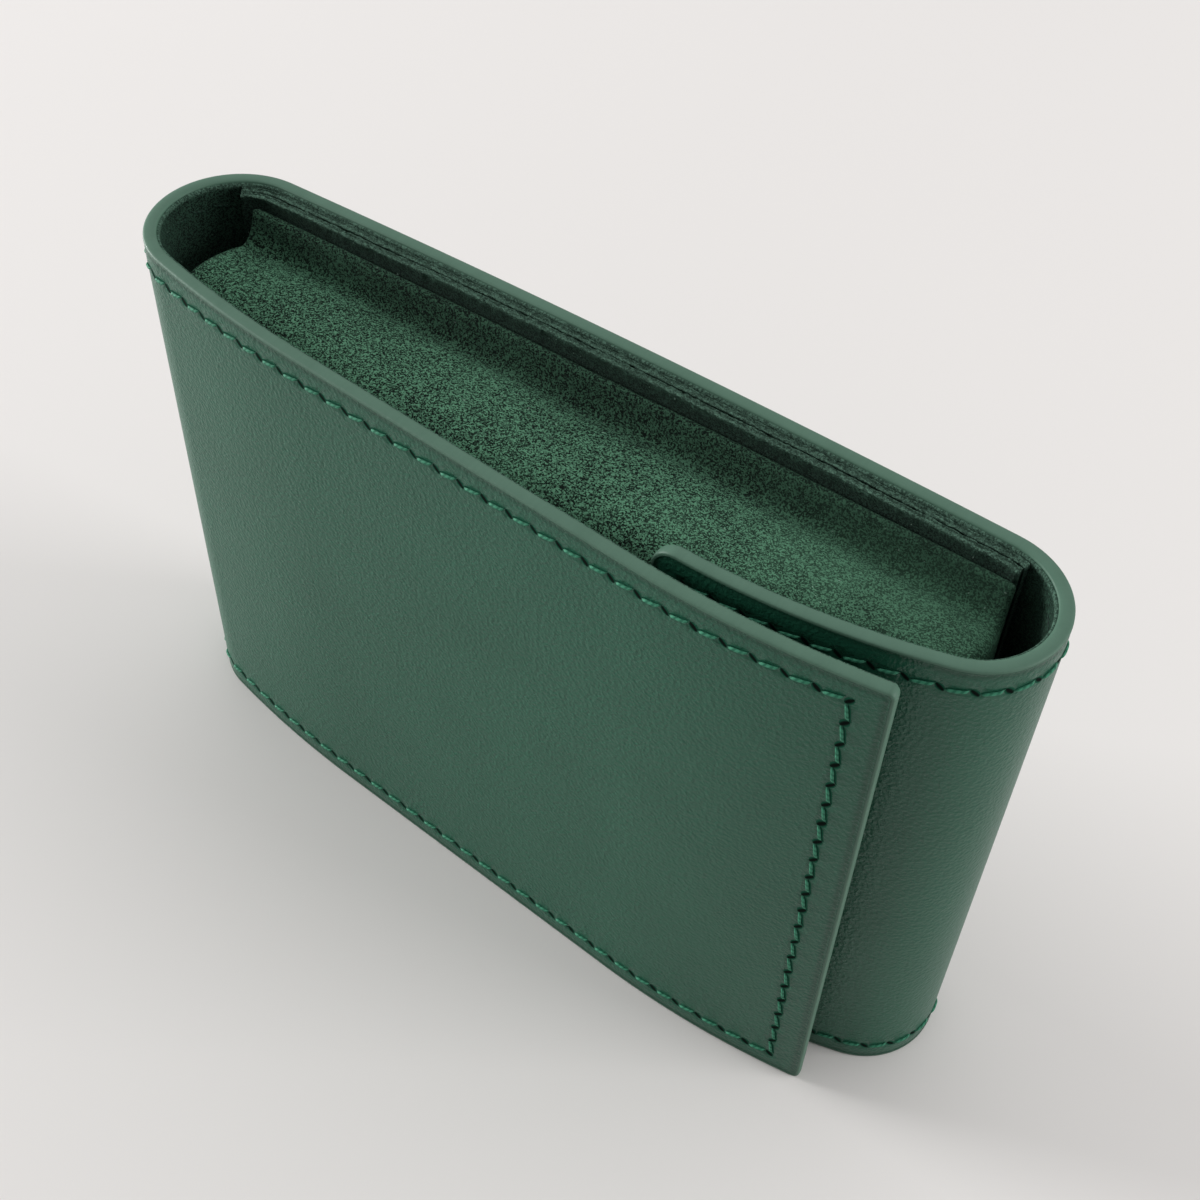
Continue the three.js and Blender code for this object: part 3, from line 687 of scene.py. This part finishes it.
def pillow_section(half_depth, half_height, inset):
    """Distances across and up round the pillow. Its top swells, then sweeps up to a thin lip at the back."""
    back = half_depth - inset
    middle = half_depth - PILLOW_LIP_THICKNESS - PILLOW_SWEEP_DEPTH
    depth, drop = PILLOW_SWEEP_DEPTH + inset, PILLOW_SWEEP_DROP + inset
    first = max(math.acos(min(1, (back - middle) / depth)), math.asin(inset / drop))
    turns = np.linspace(first, math.pi / 2, PILLOW_SWEEP_STEPS + 1)
    sweep = np.stack([middle + depth * np.cos(turns), half_height - drop * np.sin(turns)], -1)
    lip_top = sweep[0, 1]
    lip = np.array([[back, lip_top - inset - LIP_ROUND], [back - LIP_ROUND / 2, lip_top - inset / 2]])
    radius = max(PILLOW_CORNER_RADIUS - inset, PILLOW_LEAST_RADIUS)
    groove = half_height - drop
    turns = np.linspace(math.pi / 2, math.pi, PILLOW_CORNER_STEPS + 1)
    corner = np.stack([radius * np.cos(turns), radius * np.sin(turns)], -1)
    corner += (radius - back, groove + PILLOW_TOP_CROWN - radius)
    shares = np.linspace(0, 1, PILLOW_TOP_STEPS + 1)[1:-1]
    across = middle + (corner[0, 0] - middle) * shares
    top = np.stack([across, groove + PILLOW_TOP_CROWN * (1 - (1 - shares) ** 2)], -1)
    upper = np.concatenate([lip, sweep, top, corner])
    lower = (upper * (1, -1))[::-1]
    front = np.linspace(upper[-1], lower[0], PILLOW_FRONT_STEPS + 1)[1:-1]
    rear = np.linspace(lower[-1], upper[0], PILLOW_REAR_STEPS + 1)[1:-1]
    return np.concatenate([upper, front, lower, rear])


def pillow_ring(share, turn, scale=1.0):
    """One ring round the pillow, at a share of its straight half length and an angle on its rounded end."""
    side = math.copysign(1, share)
    straight = PILLOW_LENGTH / 2 - PILLOW_END_RADIUS
    shrink = PILLOW_END_RADIUS * (1 - math.cos(turn))
    lengthwise = share * straight + side * PILLOW_END_RADIUS * math.sin(turn)
    x = PILLOW_OFFSET + lengthwise
    bow = x**2 / (2 * BACK_BOW_RADIUS)
    half_depth = (PILLOW_DEPTH - PILLOW_CROWN * ((x - PILLOW_CROWN_OFFSET) / (PILLOW_LENGTH / 2)) ** 2) / 2
    half_height = PILLOW_HEIGHT / 2 - PILLOW_PINCH * (1 - (lengthwise / (PILLOW_LENGTH / 2)) ** 2)
    across, up = scale * pillow_section(half_depth, half_height, shrink).T
    across_share, up_share = across / half_depth, up / half_height
    bulge = np.where(across < 0, PILLOW_BULGE * (1 - up_share**2) * across_share**2 * math.cos(turn), 0)
    crown_end = side * PILLOW_END_CROWN * across_share**2 * math.sin(turn) ** 2
    y = across - PILLOW_BACK_DEPTH - bow - half_depth - bulge
    placed = np.stack([x - crown_end, y, STRIP_HEIGHT / 2 + up], -1)
    return (placed + np.array([*ROW_SHIFT, 0])) * MM


def swell(obj):
    """Blows the pillow's cover up a little as cloth, and keeps each point near where it was."""
    cloth = obj.modifiers.new("cloth", "CLOTH")
    cloth.settings.quality = CLOTH_QUALITY
    cloth.settings.mass = CLOTH_MASS
    cloth.settings.use_pressure = True
    cloth.settings.uniform_pressure_force = CLOTH_PRESSURE
    cloth.settings.effector_weights.gravity = 0
    cloth.settings.tension_stiffness = CLOTH_TENSION
    cloth.settings.bending_stiffness = CLOTH_BENDING
    cloth.point_cache.frame_end = CLOTH_FRAMES
    for step in range(1, CLOTH_FRAMES + 1):
        scene.frame_set(step)
    count = len(obj.data.vertices)
    before, after = np.zeros(count * 3), np.zeros(count * 3)
    obj.data.vertices.foreach_get("co", before)
    obj.evaluated_get(bpy.context.evaluated_depsgraph_get()).data.vertices.foreach_get("co", after)
    moved = (after - before).reshape(-1, 3)
    far = np.linalg.norm(moved, axis=1)
    keep = np.minimum(1, PILLOW_SWELL_LIMIT * MM / np.maximum(far, LEAST_SWELL))
    obj.modifiers.remove(cloth)
    obj.data.vertices.foreach_set("co", (before.reshape(-1, 3) + moved * keep[:, None]).ravel())
    scene.frame_set(1)


def pillow_cover(material):
    """The pillow's suede cover, in one piece with its ends."""
    rings = [pillow_ring(-1, math.pi / 2, scale) for scale in PILLOW_CAP_SCALES[::-1]]
    rings += [pillow_ring(-1, turn) for turn in PILLOW_END_TURNS[::-1]]
    rings += [pillow_ring(share, 0) for share in np.linspace(-1, 1, PILLOW_RINGS)]
    rings += [pillow_ring(1, turn) for turn in PILLOW_END_TURNS]
    rings += [pillow_ring(1, math.pi / 2, scale) for scale in PILLOW_CAP_SCALES]
    faces = ring_faces(len(rings), len(rings[0]))
    obj = new_object("pillow_cover", np.concatenate(rings), faces, material)
    close_ends(obj.data)
    swell(obj)
    shade_smooth(obj.data)
    finer = obj.modifiers.new("finer", "SUBSURF")
    finer.levels = 1
    finer.render_levels = 1
    return obj


# Materials


def linear(*levels):
    """A colour from levels of 0 to 255 as they show on a screen."""
    shares = [level / 255 for level in levels]
    return (*(s / 12.92 if s <= 0.04045 else ((s + 0.055) / 1.055) ** 2.4 for s in shares), 1.0)


# Sockets of a node that mixes colours
MIX_SHARE, MIX_FIRST, MIX_SECOND, MIX_RESULT = 0, 6, 7, 2


class Graph:
    """A material's nodes, made and joined in short calls."""

    def __init__(self, name):
        self.material = bpy.data.materials.new(name)
        self.material.use_nodes = True
        self.tree = self.material.node_tree
        self.shader = self.tree.nodes["Principled BSDF"]

    def feed(self, socket, value):
        if isinstance(value, bpy.types.NodeSocket):
            self.tree.links.new(value, socket)
        else:
            socket.default_value = value

    def set(self, name, value):
        self.feed(self.shader.inputs[name], value)

    def math(self, operation, *values, clamp=False):
        node = self.tree.nodes.new("ShaderNodeMath")
        node.operation = operation
        node.use_clamp = clamp
        for socket, value in zip(node.inputs, values):
            self.feed(socket, value)
        return node.outputs[0]

    def plus(self, first, second):
        return self.math("ADD", first, second)

    def minus(self, first, second, clamp=False):
        return self.math("SUBTRACT", first, second, clamp=clamp)

    def times(self, first, second):
        return self.math("MULTIPLY", first, second)

    def rest(self, share):
        """What a share leaves of one."""
        return self.minus(1.0, share)

    def away(self, value, place):
        """How far a value is from a place, to either side."""
        return self.math("ABSOLUTE", self.minus(value, place))

    def smooth(self, value, low, high):
        """0 up to the low value, 1 from the high one on, and a soft step between them."""
        node = self.tree.nodes.new("ShaderNodeMapRange")
        node.interpolation_type = "SMOOTHSTEP"
        for socket, number in zip(node.inputs, (value, low, high, 0.0, 1.0)):
            self.feed(socket, number)
        return node.outputs[0]

    def mix(self, share, first, second):
        node = self.tree.nodes.new("ShaderNodeMix")
        node.data_type = "RGBA"
        self.feed(node.inputs[MIX_SHARE], share)
        self.feed(node.inputs[MIX_FIRST], first)
        self.feed(node.inputs[MIX_SECOND], second)
        return node.outputs[MIX_RESULT]

    def mapped(self, name):
        node = self.tree.nodes.new("ShaderNodeUVMap")
        node.uv_map = name
        return node.outputs[0]

    def placed(self):
        return self.tree.nodes.new("ShaderNodeTexCoord").outputs["Object"]

    def split(self, vector):
        node = self.tree.nodes.new("ShaderNodeSeparateXYZ")
        self.feed(node.inputs[0], vector)
        return node.outputs

    def noise(self, vector, scale, detail=2.0, roughness=0.5, distortion=0.0, output="Fac"):
        node = self.tree.nodes.new("ShaderNodeTexNoise")
        names = ("Vector", "Scale", "Detail", "Roughness", "Distortion")
        for name, value in zip(names, (vector, scale, detail, roughness, distortion)):
            self.feed(node.inputs[name], value)
        return node.outputs[output]

    def cells(self, vector, scale, output="Distance"):
        node = self.tree.nodes.new("ShaderNodeTexVoronoi")
        self.feed(node.inputs["Vector"], vector)
        self.feed(node.inputs["Scale"], scale)
        return node.outputs[output]

    def stirred(self, vector, scale, amount):
        """A vector that a noise of this scale moves about by this amount."""
        node = self.tree.nodes.new("ShaderNodeVectorMath")
        node.operation = "MULTIPLY_ADD"
        self.feed(node.inputs[0], self.noise(vector, scale, output="Color"))
        self.feed(node.inputs[1], (amount, amount, amount))
        self.feed(node.inputs[2], vector)
        return node.outputs[0]

    def bump(self, height, distance, strength, normal=None):
        node = self.tree.nodes.new("ShaderNodeBump")
        self.feed(node.inputs["Strength"], strength)
        self.feed(node.inputs["Distance"], distance)
        self.feed(node.inputs["Height"], height)
        if normal is not None:
            self.feed(node.inputs["Normal"], normal)
        return node.outputs[0]


# Noises hold a scale per metre, a detail and a roughness. Bumps hold a depth in metres and a strength
LEATHER_DARK, LEATHER_LIGHT = linear(24, 75, 56), linear(33, 89, 68)
PAINT_DARK, PAINT_LIGHT = linear(71, 104, 87), linear(82, 115, 98)
# Painted shade: a soft dark band round the crease just under the rim, where shade falls
CREASE_SHADE_COLOUR, CREASE_SHADE_SHARE = linear(24, 58, 43), 0.5
PAINT_REACH, CREASE_SHADE_REACH = (0.36, 0.56), (0.1, 0.75)
DENT_REACH, PULL_REACH, PRICK_SHARE = (0.3, 1.3), (0.1, 0.8), 0.5
BROAD_NOISE, BROAD_SHARE = (70, 3, 0.55), 0.9
FINE_NOISE, FINE_BAND, FINE_SHARE = (2400, 2, 0.65), (0.35, 0.75), 0.4
PORE_SCALE, PORE_STIR, PORE_SHARE = 1700, (1500, 0.0004), 0.7
PAINT_NOISE, PAINT_CALM = (0.35, 3), 0.85
SWAY_NOISE = (28, 2)
LEATHER_ROUGH, GRAIN_ROUGH, PAINT_ROUGH = 0.29, 0.16, 0.15
LEATHER_SPECULAR = 0.3
SWAY_BUMP, GRAIN_BUMP, PRICK_BUMP = (0.0007, 0.6), (0.00014, 0.8), (0.0002, 1.0)


def leather_material():
    """Green leather with a fine grain, pricked along its seams, smooth lighter paint on its edges, and
    painted shade in the crease under the rim.
    """
    g = Graph("leather")
    grain_at, edge_at, seam_at = g.mapped("grain"), g.mapped("edge"), g.mapped("seam")
    run = g.split(edge_at)[1]
    painted = g.rest(g.smooth(run, *PAINT_REACH))
    # Painted shade in the crease under the rim
    crease_shade = g.rest(g.smooth(g.away(run, CREASE_INSET), *CREASE_SHADE_REACH))

    count, off, _ = g.split(seam_at)
    step = g.minus(g.math("FRACT", g.plus(count, 0.5)), 0.5)
    step = g.times(step, STITCH_PITCH)
    reach = g.math("SQRT", g.plus(g.math("POWER", step, 2.0), g.math("POWER", off, 2.0)))
    dent = g.rest(g.smooth(reach, *DENT_REACH))
    pulled = g.rest(g.smooth(g.math("ABSOLUTE", off), *PULL_REACH))

    broad = g.noise(grain_at, *BROAD_NOISE)
    fine = g.noise(grain_at, *FINE_NOISE)
    pores = g.cells(g.stirred(grain_at, *PORE_STIR), PORE_SCALE)
    hide = g.mix(g.times(broad, BROAD_SHARE), LEATHER_DARK, LEATHER_LIGHT)
    hide = g.mix(g.smooth(fine, *FINE_BAND), hide, g.mix(FINE_SHARE, hide, LEATHER_LIGHT))
    paint = g.mix(g.noise(edge_at, *PAINT_NOISE), PAINT_DARK, PAINT_LIGHT)
    colour = g.mix(painted, hide, paint)
    # The painted crease shade darkens the colour here
    g.set("Base Color", g.mix(g.times(crease_shade, CREASE_SHADE_SHARE), colour, CREASE_SHADE_COLOUR))

    rough = g.plus(LEATHER_ROUGH, g.times(fine, GRAIN_ROUGH))
    g.set("Roughness", g.plus(rough, g.times(painted, PAINT_ROUGH)))
    g.set("Specular IOR Level", LEATHER_SPECULAR)

    bare = g.rest(g.times(painted, PAINT_CALM))
    grain = g.times(g.plus(g.times(pores, PORE_SHARE), fine), bare)
    sway = g.bump(g.noise(grain_at, *SWAY_NOISE), *SWAY_BUMP)
    relief = g.bump(grain, *GRAIN_BUMP, sway)
    pricked = g.plus(g.times(dent, PRICK_SHARE), g.times(pulled, PRICK_SHARE))
    g.set("Normal", g.bump(g.rest(pricked), *PRICK_BUMP, relief))
    return g.material


# Painted shade: near-black along the middle of each slit and groove strip, fading to the leather's colour at
# its edges
HOLE_SHADE, HOLE_EDGE, HOLE_SHADE_REACH = linear(6, 14, 10), linear(32, 86, 66), (0.12, 0.5)
HOLE_ROUGH, HOLE_SPECULAR = 0.9, 0.05


def hole_shade_material():
    """Painted shade of the slits and painted shadow of the grooves that the stitches lie in, dark along their
    middle.
    """
    g = Graph("stitch_hole_shade")
    across = g.split(g.mapped("twist"))[1]
    g.set("Base Color", g.mix(g.smooth(g.away(across, 0.5), *HOLE_SHADE_REACH), HOLE_SHADE, HOLE_EDGE))
    g.set("Roughness", HOLE_ROUGH)
    g.set("Specular IOR Level", HOLE_SPECULAR)
    return g.material


STIR, TUFT_SCALE, TUFT_SHARE = (2600, 0.0002), 6200, 0.7
NAP_NOISE, NAP_SHARE = (5600, 1, 0.6), 0.6
FLECK_BAND, FLECK_SHARE, CALM_FLECK = (0.46, 0.9), 0.88, 0.4
MOTTLE_NOISE, MOTTLE_BAND, MOTTLE_SHARE = (70, 3, 0.6), (0.32, 0.7), 0.18
SUEDE_DIMMING = 0.08
# Pale specks on the suede: partly lint, partly painted glints on fibres that catch the light
LINT_AND_GLINT, LINT_AND_GLINT_NOISE, LINT_AND_GLINT_LEVEL, LINT_AND_GLINT_SHARE = linear(150, 176, 162), (2300, 0.0), 0.86, 0.6
EDGE_SHARE, EDGE_FLECK_SHARE = 0.3, 0.7
SUEDE_ROUGH, SUEDE_SPECULAR, SUEDE_BUMP = 0.95, 0.12, (0.0003, 0.8)
SHEEN_WEIGHT, SHEEN_ROUGH, SHEEN_TINT = 0.2, 0.5, linear(120, 170, 146)


def suede_material(name, dark, light, map_name=None, edge=None, back_shade=None, calm=None):
    """Suede with a short nap, flecked at the size of its fibres and mottled at random.

    edge: two heights off the strip's middle, and the colour that the suede turns to there, partly the lighter
    fibres of the cut edge and partly painted light on it.
    The painted shade towards the back wall: two distances towards it, between which the nap darkens, and how
    far it does.
    calm: two distances towards the right end, between which the flecks fade, and how far they do.
    """
    g = Graph(name)
    at = g.mapped(map_name) if map_name else g.placed()
    tufts = g.split(g.cells(g.stirred(at, *STIR), TUFT_SCALE, "Color"))[0]
    nap = g.noise(at, *NAP_NOISE)
    fleck = g.smooth(g.plus(g.times(tufts, TUFT_SHARE), g.times(nap, NAP_SHARE)), *FLECK_BAND)
    across, inwards, height = g.split(g.placed())
    if calm:
        start, end, depth = calm
        fade = g.times(g.smooth(across, start * MM, end * MM), depth)
        fleck = g.plus(fleck, g.times(fade, g.minus(CALM_FLECK, fleck)))
    mottle = g.smooth(g.noise(at, *MOTTLE_NOISE), *MOTTLE_BAND)
    share = g.plus(g.times(fleck, FLECK_SHARE), g.times(mottle, MOTTLE_SHARE))
    colour = g.mix(g.minus(share, SUEDE_DIMMING, clamp=True), dark, light)
    # Pale specks: partly lint, partly painted glints
    lint_and_glint = g.math("GREATER_THAN", g.noise(at, *LINT_AND_GLINT_NOISE), LINT_AND_GLINT_LEVEL)
    colour = g.mix(g.times(lint_and_glint, LINT_AND_GLINT_SHARE), colour, LINT_AND_GLINT)
    # Painted shade: the suede darkens towards the back wall, where the wall shades the pillow
    if back_shade:
        front, back, depth = back_shade
        wall_shade = g.smooth(inwards, front * MM, back * MM)
        colour = g.mix(g.times(wall_shade, depth), colour, dark)
    # Cut edges: partly the lighter fibres of the cut, partly painted light where the top edge faces up
    if edge:
        low, high, fuzz = edge
        cut_edge_and_light = g.smooth(g.away(height, STRIP_HEIGHT / 2 * MM), low * MM, high * MM)
        furry = g.plus(EDGE_SHARE, g.times(fleck, EDGE_FLECK_SHARE))
        colour = g.mix(g.times(cut_edge_and_light, furry), colour, fuzz)
    g.set("Base Color", colour)
    g.set("Roughness", SUEDE_ROUGH)
    g.set("Specular IOR Level", SUEDE_SPECULAR)
    g.set("Sheen Weight", SHEEN_WEIGHT)
    g.set("Sheen Roughness", SHEEN_ROUGH)
    g.set("Sheen Tint", SHEEN_TINT)
    g.set("Normal", g.bump(fleck, *SUEDE_BUMP))
    return g.material


LINING_DARK, LINING_LIGHT = linear(6, 15, 11), linear(44, 72, 58)
# Lighter top and bottom edges of the lining and panel: partly cut fibres, partly painted light
LINING_EDGE = (38.9, 39.4, linear(80, 110, 95))
PANEL_DARK, PANEL_LIGHT = linear(6, 13, 10), linear(40, 62, 52)
PANEL_EDGE = (38.6, 39.3, linear(82, 112, 97))
PILLOW_DARK, PILLOW_LIGHT = linear(1, 8, 5), linear(92, 142, 113)
# Painted shade on the pillow's rear, next to the back wall, and flecks that fade towards the right end
PILLOW_BACK_SHADE, PILLOW_CALM = (4.5, 8.5, 0.55), (10.0, 50.0, 0.45)


def lining_suede():
    return suede_material("lining_suede", LINING_DARK, LINING_LIGHT, map_name="grain", edge=LINING_EDGE)


def panel_suede():
    return suede_material("panel_suede", PANEL_DARK, PANEL_LIGHT, edge=PANEL_EDGE)


def pillow_suede():
    return suede_material("pillow_suede", PILLOW_DARK, PILLOW_LIGHT, back_shade=PILLOW_BACK_SHADE, calm=PILLOW_CALM)


THREAD_COLOURS = linear(38, 102, 78), linear(62, 132, 104)
# The same thread inside the pouch, drawn darker: painted shade
SHADED_INSIDE_THREAD_COLOURS = linear(12, 30, 23), linear(30, 58, 46)
PLY_TWIST, PLY_BAND, PLY_BUMP = 1.3, (-1.0, 0.6), (0.00003, 0.8)
THREAD_ROUGH, THREAD_SPECULAR = 0.65, 0.2


def thread_material(name, dark, light):
    """Thread of twisted plies."""
    g = Graph(name)
    forward, turn, _ = g.split(g.mapped("twist"))
    angle = g.times(g.plus(g.times(forward, PLY_TWIST), turn), 2 * math.pi)
    ply = g.smooth(g.math("SINE", angle), *PLY_BAND)
    g.set("Base Color", g.mix(ply, dark, light))
    g.set("Roughness", THREAD_ROUGH)
    g.set("Specular IOR Level", THREAD_SPECULAR)
    g.set("Normal", g.bump(ply, *PLY_BUMP))
    return g.material


BRASS_DARK, BRASS_LIGHT = linear(120, 108, 74), linear(172, 158, 118)
SCUFF_NOISE, SCUFF_BUMP = (900, 4, 0.65), (0.00004, 0.4)
BRASS_ROUGH, SCUFF_ROUGH = 0.26, 0.24


def brass_material():
    """Dull brass of the press stud, lightly scuffed."""
    g = Graph("snap_brass")
    scuff = g.noise(g.placed(), *SCUFF_NOISE)
    g.set("Base Color", g.mix(scuff, BRASS_DARK, BRASS_LIGHT))
    g.set("Metallic", 1.0)
    g.set("Roughness", g.plus(BRASS_ROUGH, g.times(scuff, SCUFF_ROUGH)))
    g.set("Normal", g.bump(scuff, *SCUFF_BUMP))
    return g.material


BOARD_DARK, BOARD_LIGHT = linear(58, 55, 50), linear(92, 88, 80)
FIBRE_NOISE, FIBRE_DISTORTION, FIBRE_BUMP = (1400, 4, 0.7), 1.2, (0.00008, 0.6)
BOARD_ROUGH, FIBRE_ROUGH = 0.8, 0.15


def board_material():
    """Grey board with pressed fibres."""
    g = Graph("grey_board")
    fibre = g.noise(g.placed(), *FIBRE_NOISE, FIBRE_DISTORTION)
    g.set("Base Color", g.mix(fibre, BOARD_DARK, BOARD_LIGHT))
    g.set("Roughness", g.plus(BOARD_ROUGH, g.times(fibre, FIBRE_ROUGH)))
    g.set("Normal", g.bump(fibre, *FIBRE_BUMP))
    return g.material


FLOOR_DARK, FLOOR_LIGHT, FLOOR_NOISE = linear(227, 224, 222), linear(231, 228, 226), (3, 2)
FLOOR_ROUGH, FLOOR_SPECULAR = 0.7, 0.2


def floor_material():
    """Pale matte surface."""
    g = Graph("floor")
    cloud = g.noise(g.placed(), *FLOOR_NOISE)
    g.set("Base Color", g.mix(cloud, FLOOR_DARK, FLOOR_LIGHT))
    g.set("Roughness", FLOOR_ROUGH)
    g.set("Specular IOR Level", FLOOR_SPECULAR)
    return g.material


# Stage, in metres and watts. Each lamp has its place, its size and its power

FLOOR_HALF, FLOOR_DROP = 3, 0.00002
WORLD_COLOUR, WORLD_STRENGTH = (1.0, 0.99, 0.99, 1), 0.3
LAMP_TARGET = Vector((0, 0, 0.04))
LAMPS = {
    "key": ((-0.05, 0.45, 1.1), 2.8, 15.0),
    "left": ((-1.5, -0.3, 0.25), 0.6, 35.0),
    "right": ((1.0, 0.35, 0.4), 0.5, 6.0),
}


def make_stage():
    corners = [(-1, -1), (1, -1), (1, 1), (-1, 1)]
    points = [(x * FLOOR_HALF, y * FLOOR_HALF, -FLOOR_DROP) for x, y in corners]
    floor = new_object("floor", points, [(0, 1, 2, 3)], floor_material())
    world = bpy.data.worlds.new("studio")
    scene.world = world
    world.use_nodes = True
    background = world.node_tree.nodes["Background"]
    background.inputs["Color"].default_value = WORLD_COLOUR
    background.inputs["Strength"].default_value = WORLD_STRENGTH
    for name, (place, size, power) in LAMPS.items():
        add_lamp(name, place, size, power)


def add_lamp(name, place, size, power):
    light = bpy.data.lights.new(name, "AREA")
    light.size = size
    light.energy = power
    obj = bpy.data.objects.new(name, light)
    obj.location = place
    obj.rotation_euler = (LAMP_TARGET - Vector(place)).to_track_quat("-Z", "Y").to_euler()
    scene.collection.objects.link(obj)


# Assembly


def dress_strip():
    leather, lining = leather_material(), lining_suede()
    thread_look = thread_material("thread", *THREAD_COLOURS)
    # The inside stitches get a darker copy of the thread: painted shade
    shaded_inside_look = thread_material("thread_inside_shaded", *SHADED_INSIDE_THREAD_COLOURS)
    hole_shade_look = hole_shade_material()
    for piece in PIECES:
        outside = sheet_piece(f"leather_{piece['name']}", piece, leather_section(), -1, leather)
        inside = sheet_piece(f"lining_{piece['name']}", piece, np.array(LINING_SECTION), 1, lining)
        sewn = stitches(piece, thread_look)
        sunk = inside_stitches(piece, shaded_inside_look)
        # Painted shade in the slits and painted shadow in the grooves
        pricked = holes(piece, hole_shade_look)
        looks = {outside: "leather", inside: "suede", sewn: "leather", sunk: "suede", pricked: "leather"}
        for obj, slot in looks.items():
            bend(obj, piece)
        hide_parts(*(f"{node}_leather" for node in piece["nodes"]))
        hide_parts(*(f"{node}_lining" for node in piece["nodes"]))


def dress_inside():
    panel = panel_suede()
    for node, (depth, closes) in PANEL_SHEETS.items():
        sheet = panel_sheet(f"{node}_sheet", depth, closes, panel)
        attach(sheet, "wrap")
        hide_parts(node)
    cover = pillow_cover(pillow_suede())
    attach(cover, "pillow")
    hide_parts("pillow_core", "pillow_sleeve", "pillow_left_end", "pillow_right_end")


def dress_hardware():
    brass, board = brass_material(), board_material()
    looks = {node: brass for node in ("snap_cap", "snap_socket", "snap_post", "snap_stud")}
    looks["panel_board"] = board
    for node, material in looks.items():
        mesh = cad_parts[node].data
        mesh.materials.clear()
        mesh.materials.append(material)


scene.view_settings.view_transform = "Standard"
make_camera()
make_stage()
dress_strip()
dress_inside()
dress_hardware()
